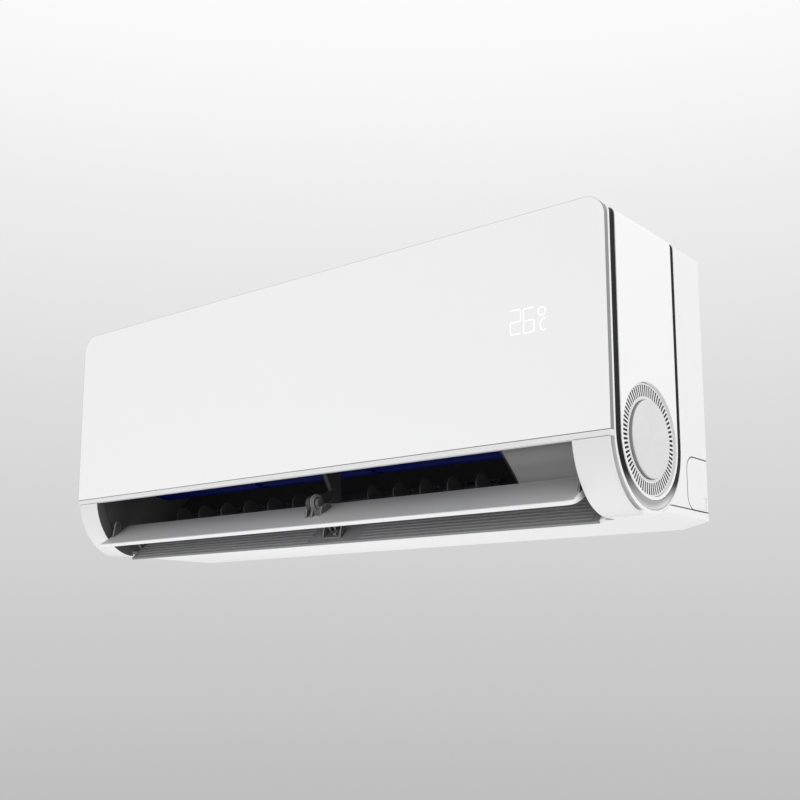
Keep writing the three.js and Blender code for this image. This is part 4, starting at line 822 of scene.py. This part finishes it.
# Stations run up one leg, over the casing's top round, and inwards; each one holds a
# channel section whose floor sags as the root of a sine between its two edges.
def channelParts(size):
    half, top, rounding, bend = sideX, size["top"], size["round"], size["bend"]
    (outerFront, outerRear, _), (innerFront, innerRear, _) = size["edges"]

    def over(y0, y1):
        run = [((half, bend + (top - rounding - bend) * i / 3), (1, 0)) for i in range(1, 4)]
        run += [((half - rounding + rounding * cos(a), top - rounding + rounding * sin(a)), (cos(a), sin(a)))
                for a in np.linspace(pi / 18, pi / 2, 9)]
        run += [((size["end"], top), (0, 1))]
        return [((y0, x, z), (y1, x, z), normal) for (x, z), normal in run]

    below = [[((front + rear) / 2 + (rear - front) / 2 * cos(a), half, bend + drop * sin(a))
              for front, rear, drop in size["edges"]] + [(1, 0)] for a in np.linspace(pi, 2 * pi, size["steps"] + 1)]
    front, rear = over(outerFront, innerFront)[::-1], over(outerRear, innerRear)
    section = [(t, size["edge"] + (size["deep"] - size["edge"]) * sqrt(max(sin(pi * t), 0)))
               for t in (j / size["across"] for j in range(size["across"] + 1))]
    section += [(1.0, size["back"]), (0.0, size["back"])]
    return [loft([[(o[1] + (n[1] - o[1]) * t - normal[0] * deep, o[0] + (n[0] - o[0]) * t,
                    o[2] + (n[2] - o[2]) * t - normal[1] * deep) for t, deep in section]
                  for o, n, normal in front + below + rear])]


for side in ("left", "right"):
    sidePiece(side, "_channel_film", channelParts(channelSize), "channel", "dark_metal", "_channel_trim", smooth=40)

ventSize = {"y": -143.0, "z": 84.0, "outer": 62.0, "slotOuter": 60.0, "slotInner": 47.2, "inner": 43.4,
            "floor": 443.4, "back": 444.6, "face": 445.0, "slots": 70, "slotShare": 0.55, "easing": 0.25,
            "disc": 43.0, "discFace": 449.55, "discCap": 1.5, "discEasing": 1.0, "discFlat": 0.8,
            "wallInset": 0.25, "wallLap": 0.1, "innerRim": 1.0, "outerRim": 0.6, "shadeBandLap": (1.2, 0.8),
            "shadeBandDepth": (0.25, 0.05), "sides": 96}


# Each slot is one cell left out of a ring of cells; the web between slots is split in two.
def ventRing(size):
    radii = [size["inner"], size["inner"] + size["easing"], size["slotInner"], size["slotOuter"],
             size["outer"] - size["easing"], size["outer"]]
    drops = [size["easing"], 0, 0, 0, 0, size["easing"]]
    pitch = 2 * pi / size["slots"]
    angles = []
    for i in range(size["slots"]):
        angles += [i * pitch, i * pitch + pitch * size["slotShare"], i * pitch + pitch * (1 + size["slotShare"]) / 2]
    spokes = len(angles)
    points, index = [], {}
    for level, x in enumerate((size["face"], size["back"])):
        for j, radius in enumerate(radii):
            for i, angle in enumerate(angles):
                index[level, j, i] = len(points)
                drop = drops[j] if level == 0 else 0
                points.append((x - drop, size["y"] + radius * cos(angle), size["z"] + radius * sin(angle)))
    faces = []

    def quad(*keys):
        faces.append([index[k] for k in keys])

    last = len(radii) - 1
    for i in range(spokes):
        n = (i + 1) % spokes
        for j in range(last):
            if i % 3 == 0 and j == 2:
                quad((0, j, i), (0, j, n), (1, j, n), (1, j, i))
                quad((0, j + 1, i), (1, j + 1, i), (1, j + 1, n), (0, j + 1, n))
                quad((0, j, i), (1, j, i), (1, j + 1, i), (0, j + 1, i))
                quad((0, j, n), (0, j + 1, n), (1, j + 1, n), (1, j, n))
                continue
            quad((0, j, i), (0, j + 1, i), (0, j + 1, n), (0, j, n))
            quad((1, j, i), (1, j, n), (1, j + 1, n), (1, j + 1, i))
        quad((0, 0, i), (0, 0, n), (1, 0, n), (1, 0, i))
        quad((0, last, i), (1, last, i), (1, last, n), (0, last, n))
    return np.array(points), faces


def ventDisc(size):
    face, radius, easing = size["discFace"], size["disc"], size["discEasing"]
    edge = [(face - size["discCap"], 0.01), (face - size["discCap"], radius), (face - easing, radius)]
    edge += [(face - easing * (1 - sin(a)), radius - easing * (1 - cos(a))) for a in np.linspace(0.3, pi / 2, 4)]
    edge += [(face, radius - easing - size["discFlat"]), (face, 0.01)]
    return turnedX(edge, size["y"], size["z"], size["sides"])


def ventPieces(side, size):
    axis = (size["y"], size["z"], size["sides"])
    back, inner, outer = size["back"], size["slotInner"], size["slotOuter"]
    rims = [bandX(size["inner"], inner - size["innerRim"], size["floor"], back, *axis),
            bandX(outer + size["outerRim"], size["outer"], size["floor"], back, *axis)]
    wallFace = size["discFace"] - size["discCap"] + size["wallLap"]
    wall = discX(size["disc"] - size["wallInset"], size["floor"], wallFace, *axis)
    # A near-black band behind the slots: painted shade of the hollow behind them.
    (within, beyond), (deep, shallow) = size["shadeBandLap"], size["shadeBandDepth"]
    shadeBlack = bandX(inner - within, outer + beyond, back - deep, back - shallow, *axis)
    sidePiece(side, "_vent_ring_fine", [ventRing(size)] + rims, "ring", "white_moulding", "_vent_ring")
    sidePiece(side, "_vent_disc_fine", [ventDisc(size)], "turned", "silver_disc", "_vent_disc", smooth=40)
    sidePiece(side, "_vent_disc_wall", [wall], "discSide", "silver_disc", smooth=40)
    sidePiece(side, "_vent_shade_band", [shadeBlack], "shadeBlack", "duct_dark")


for side in ("left", "right"):
    ventPieces(side, ventSize)
print("sides made")

# ---- louvres ----
upperFlapSize = {"pivot": (-202.0, 44.0), "open": 96.0, "split": 228.8, "edge": 4.2, "tail": 3.0, "round": 3.0,
                 "roundRight": 9.0, "relief": 0.6, "left": -403.2, "right": 398.0, "armX": 394.5, "steps": 28,
                 "rim": 1.7, "rise": 0.35, "sink": 0.6, "skinShares": (0.01, 0.06, 0.16, 0.32, 0.6, 1.0),
                 "linerShares": (0.04, 0.12, 0.3, 0.6, 1.0), "linerHeld": 0.5}
flapTop = 180 + degrees(asin((drumZ - capTop) / drumRadius))


def flapSection(size, reach, rounding):
    drop = rounding - sqrt(rounding ** 2 - (rounding - min(reach, rounding)) ** 2)
    top = flapTop + degrees(drop / drumRadius)
    inner = (skinPoint(top + size["relief"], size["edge"]), skinPoint(size["split"], size["tail"]))
    return skinRun(top, size["split"], 0, size["steps"]), inner


def flapStations(size, shares, held):
    left = [(size["left"] + held + share * size["round"], share * size["round"], size["round"]) for share in shares]
    right = [(size["right"] - held - share * size["roundRight"], share * size["roundRight"], size["roundRight"])
             for share in shares]
    return left + right[::-1]


# A thin plate on the flat inside, held back from the edges by the rim.
def flapLiner(stations, rim, rise, sink):
    rings = []
    for x, first, last in stations:
        far = dist(first, last) - rim
        ring = alongLine(first, last, [(rim, -sink), (rim, rise), (far, rise), (far, -sink)])
        rings.append([(x, *point) for point in ring])
    return loft(rings)


armSize = {"shares": (0.36, 0.64), "sunk": 0.7, "head": 5.0, "thick": 3, "lugs": (-1.3, 8.3), "pin": 2.4,
           "pinReach": 411, "middlePin": (-1.3, 11.3), "headSides": 28, "pinSides": 20}


# End arms, middle lugs and pins: an arm is the hull of its root on the flap and a round head.
def flapArms(inner, outer, pivot, armX, size):
    root, sunk = [[between(*line, share) for share in size["shares"]] for line in (inner, outer)]
    base = root + [between(r, s, size["sunk"]) for r, s in zip(root, sunk)]
    shape = hull(base + circle(*pivot, size["head"], size["headSides"]))
    thick, reach = size["thick"], size["pinReach"]
    parts = [prism(shape, 0, x, x + thick) for x in (armX, -armX - thick, *size["lugs"])]
    return parts + [prism(circle(*pivot, size["pin"], size["pinSides"]), 0, low, high)
                    for low, high in ((armX, reach), (-reach, -armX), size["middlePin"])]


# Sections across the flap: the outer arc of the skin and a flat inside; the front corners are rounded.
def upperFlapPieces(size):
    skin = []
    for x, reach, rounding in flapStations(size, size["skinShares"], 0.0):
        arc, inner = flapSection(size, reach, rounding)
        skin.append([(x, y, z) for y, z in arc + [inner[1], inner[0]]])
    piece("upper_flap_skin", opened(size, [loft(skin)]), "upper_louvre", "gloss", "gloss_white", ("upper_flap",),
          bevel=0.9, segments=3, smooth=30)
    stations = [(x, *flapSection(size, reach, rounding)[1])
                for x, reach, rounding in flapStations(size, size["linerShares"], size["linerHeld"])]
    liner = flapLiner(stations, size["rim"], size["rise"], size["sink"])
    piece("upper_flap_liner", opened(size, [liner]), "upper_louvre", "liner", "flap_grey", bevel=0.2, segments=1)
    inner = (skinPoint(flapTop, size["edge"]), skinPoint(size["split"], size["tail"]))
    outer = (skinPoint(flapTop, 0), skinPoint(size["split"], 0))
    arms = flapArms(inner, outer, size["pivot"], size["armX"], armSize)
    # The arms' rounded edges take the pale grey as a painted highlight.
    piece("upper_flap_arms", opened(size, arms), "upper_louvre", "arm", "flap_grey", bevel=0.6, edge="greyAndHighlight")


upperFlapPieces(upperFlapSize)

lowerFlapSize = {"pivot": (-170.3, 29.8), "open": 60.0, "start": 229.5, "rear": -147.3, "tail": 3.0, "left": -392.0,
                 "right": 402.0, "armX": 388.5, "rim": 1.6, "rise": 0.3, "sink": 0.5, "steps": 24, "linerEdge": -0.035,
                 "linerHeld": (0.4, 1.6), "ribs": 9, "ribWide": 2.6, "ribHigh": 1.3, "ribInset": 0.5,
                 "ribShape": ((-1, 0), (-0.72, 0.8), (-0.3, 1), (0.3, 1), (0.72, 0.8), (1, 0)),
                 "ribEnds": ((-381.0, -29.0), (59.0, 391.0)), "tip": ((-0.2, 0.5), (-0.2, 2.9), (0.6, 2.9), (0.6, 0.5))}


def lowerFlapPieces(size):
    first, last = skinPoint(size["start"], size["tail"]), (size["rear"], size["tail"])
    left, right, held = size["left"], size["right"], size["ribInset"]
    outline = skinRun(size["start"], 270, 0, size["steps"]) + [(size["rear"], 0.0), last, first]
    piece("lower_flap_skin", opened(size, [prism(outline, 0, left, right)]), "lower_louvre", "gloss", "gloss_white",
          ("lower_flap",), bevel=0.8, segments=3, smooth=30)
    edge = between(first, last, size["linerEdge"])
    stations = [(left + size["linerHeld"][0], edge, last), (right - size["linerHeld"][1], edge, last)]
    parts = [flapLiner(stations, size["rim"], size["rise"], size["sink"])]
    tip = [skinPoint(size["start"] + turn, inset) for turn, inset in size["tip"]]
    parts.append(prism(tip, 0, left + held, right - held))
    pitch = (dist(first, last) - 2 * (size["rim"] + held)) / size["ribs"]
    for i in range(size["ribs"]):
        centre = size["rim"] + held + pitch * (i + 0.5)
        shape = alongLine(first, last, [(centre + size["ribWide"] / 2 * across, size["ribHigh"] * up)
                                        for across, up in size["ribShape"]])
        parts += [prism(shape, 0, *ends) for ends in size["ribEnds"]]
    piece("lower_flap_ribs", opened(size, parts), "lower_louvre", "ribs", "rib_grey", smooth=50)
    outer = (skinPoint(size["start"], 0), (size["rear"], 0))
    arms = flapArms((first, last), outer, size["pivot"], size["armX"], armSize)
    # The arms' rounded edges take the pale grey as a painted highlight.
    piece("lower_flap_arms", opened(size, arms), "lower_louvre", "arm", "rib_grey", bevel=0.6, edge="greyAndHighlight")


lowerFlapPieces(lowerFlapSize)

# Shapes are (distance, lift) along a flap's inner face as it stands open.
hubSize = {"disc": [(11.3, 0.01), (11.3, 12.0), (13.4, 12.0), (13.4, 10.2), (15.2, 9.6), (15.2, 4.8), (17.2, 4.4),
                    (17.2, 0.01)],
           "face": ((-229.0, 12.8), (-176.3, 45.7)), "footX": (8.5, 24.0), "tabX": (14.0, 25.0),
           "foot": [(27, -0.3), (52, -0.3), (50, 5.5), (44, 9), (34, 9), (29, 5)],
           "tab": [(21, -0.3), (34, -0.3), (34, 1.4), (22, 1.4)],
           "hole": (26.5, 1.5), "holeX": 19.5, "holeRadius": 1.7, "holeDepth": (-0.6, 0.08)}
cradleSize = {"face": ((-175.9, -4.0), (-135.6, 36.3)), "x": (-6.0, 26.0), "wall": 2.2, "bossX": (12.5, 16.5),
              "side": [(7, -0.3), (24, -0.3), (27, 9), (20, 11), (9, 4)],
              "base": [(7, -0.3), (22, -0.3), (22, 1.6), (8, 1.6)],
              "boss": [(11, 1), (16, 1), (15.5, 4.5), (11.5, 4.5)]}


def hubPieces(size):
    face = size["face"]
    foot, tab = alongLine(*face, size["foot"]), alongLine(*face, size["tab"])
    hub = [turnedX(size["disc"], *upperFlapSize["pivot"], 40), prism(foot, 0, *size["footX"])]
    # The hub's rounded edges take the pale grey as a painted highlight.
    piece("upper_hub", hub, "upper_louvre", "arm", "duct_dark", bevel=0.5, edge="greyAndHighlight")
    piece("upper_hub_tab", [prism(tab, 0, *size["tabX"])], "upper_louvre", "greyAndHighlight", "flap_grey", bevel=0.4)
    # The hole is a thin near-black plug: painted shade of its inside.
    along, lift = size["hole"]
    rings = [[(size["holeX"] + u, *alongLine(*face, [(along + v, lift + depth)])[0])
              for u, v in circle(0, 0, size["holeRadius"], 16)] for depth in size["holeDepth"]]
    piece("upper_hub_hole", [loft(rings)], "upper_louvre", "shadeBlack", "duct_dark")


def cradlePiece(size):
    side, base, boss = (alongLine(*size["face"], size[name]) for name in ("side", "base", "boss"))
    (x0, x1), wall = size["x"], size["wall"]
    parts = [prism(side, 0, x0, x0 + wall), prism(side, 0, x1 - wall, x1), prism(base, 0, x0, x1),
             prism(boss, 0, *size["bossX"])]
    # The cradle's rounded edges take the pale grey as a painted highlight.
    piece("lower_cradle", parts, "lower_louvre", "arm", "duct_dark", bevel=0.5, edge="greyAndHighlight")


hubPieces(hubSize)
cradlePiece(cradleSize)
print("louvres made")

# ---- duct, vanes, fan ----
refined("air_duct", "duct", bevel=0.4)
refined("motor_bay_panel", "bay", bevel=0.4)
refined("drain_pan", "duct", bevel=0.4)
# The bracket's rounded edges take the pale grey as a painted highlight.
refined("centre_bracket", "pillar", bevel=0.8, edge="greyAndHighlight")
# Each vane's rounded edges take a lighter grey as a painted highlight.
for i in range(12):
    refined("vane_%d" % (i + 1), "vane", bevel=0.45, edge="vaneEdgeHighlight")
for side, nodeName in (("left", "air_duct"), ("right", "motor_bay_panel")):
    lining(side, "_cheek_lining", nodeName, liningSize["cheek"], liningSize)
refined("vane_link", "vane", bevel=0.3)

fanSize = {"y": -105.0, "z": 144.0, "radius": 52.0, "left": -403.0, "right": 250.0, "blades": 26, "inner": 39.0,
           "thick": 1.5, "lead": 16.0, "bow": 2.2, "steps": 6, "disc": 2.4, "tipClear": 0.6, "discHole": 1.5,
           "endClear": 0.5, "discs": 4, "discSides": 72, "stubSides": 24, "hubSides": 32,
           "stub": ((-10, 0.01), (-10, 3.4), (-9.4, 4.0), (1, 4.0), (1, 0.01)),
           "hub": ((-14, 4.5), (-14, 11.4), (-13.4, 12.0), (3.4, 12.0), (4, 11.4), (4, 4.5))}


# A blade's section leans round the axis from the inner to the outer radius and bows between them.
def fanParts(size):
    y, z, left, right, inner, rim = [size[key] for key in ("y", "z", "left", "right", "inner", "radius")]
    parts = []
    for k in range(size["blades"]):
        line = []
        for t in (i / size["steps"] for i in range(size["steps"] + 1)):
            radius = inner + (rim - size["tipClear"] - inner) * t
            bow = size["bow"] * sin(pi * t) / radius
            line.append((radius, 2 * pi * k / size["blades"] + radians(size["lead"]) * t + bow))
        sides = [(r, a + size["thick"] / 2 / r) for r, a in line]
        sides += [(r, a - size["thick"] / 2 / r) for r, a in line[::-1]]
        shape = [(y + r * cos(a), z + r * sin(a)) for r, a in sides]
        parts.append(prism(shape, 0, left + size["endClear"], right - size["endClear"]))
    thick, sides, last = size["disc"], size["discSides"], size["discs"] - 1
    for i in range(size["discs"]):
        x = left + (right - left - thick) * i / last
        parts.append(discX(rim, x, x + thick, y, z, sides) if i in (0, last) else
                     bandX(inner + size["discHole"], rim, x, x + thick, y, z, sides))
    parts.append(turnedX([(left + x, r) for x, r in size["stub"]], y, z, size["stubSides"]))
    parts.append(ringX([(right + x, r) for x, r in size["hub"]], y, z, size["hubSides"]))
    return parts


piece("fan_rotor", fanParts(fanSize), "fan", "fan", "fan_blue", ("cross_flow_fan",))
print("duct and fan made")

# ---- what stays as packed gets its finish ----
kept = {
    "mounting_plate": "zinc", "display_board": "board", "fan_shaft": "steel", "fan_bearing": "rubber",
    "fan_motor": "motor", "motor_clamp": "zinc", "upper_flap_motor": "box", "lower_flap_motor": "box",
    "vane_motor": "box", "evaporator_front_low": "fins", "evaporator_front_high": "fins",
    "evaporator_rear": "fins", "tube_sheet_left": "copper", "tube_sheet_right": "copper", "gas_pipe": "copper",
    "liquid_pipe": "copper", "control_box": "box", "control_board": "board", "control_cover": "box",
    "terminal_block": "motor",
}
for nodeName, look in kept.items():
    refined(nodeName, look, bevel=0.3, segments=1)

filterSize = {"inner": 10.4, "outer": 404.6, "front": -204.6, "rear": -85.4, "top": 326.6, "down": 2.6, "inset": 1.0,
              "thread": 0.5, "pitch": 3.2}


# Two layers of thin threads, one each way, across the whole opening.
def filterMesh(size):
    half, thread, pitch, z = size["thread"] / 2, size["thread"], size["pitch"], size["top"] - size["down"]
    inset = size["inset"]
    inner, outer = size["inner"] + inset, size["outer"] - inset
    front, rear = size["front"] + inset, size["rear"] - inset
    parts = [block(x - half, x + half, front, rear, z, z + thread) for x in np.arange(inner + inset, outer, pitch)]
    return parts + [block(inner, outer, y - half, y + half, z - thread, z)
                    for y in np.arange(front + inset, rear, pitch)]


for side in ("left", "right"):
    refined(side + "_filter", "filter", bevel=0.4)
    sidePiece(side, "_filter_mesh", filterMesh(filterSize), "filter", "filter_dark", body=side + "_air_filter")
print("inner parts and filters made")
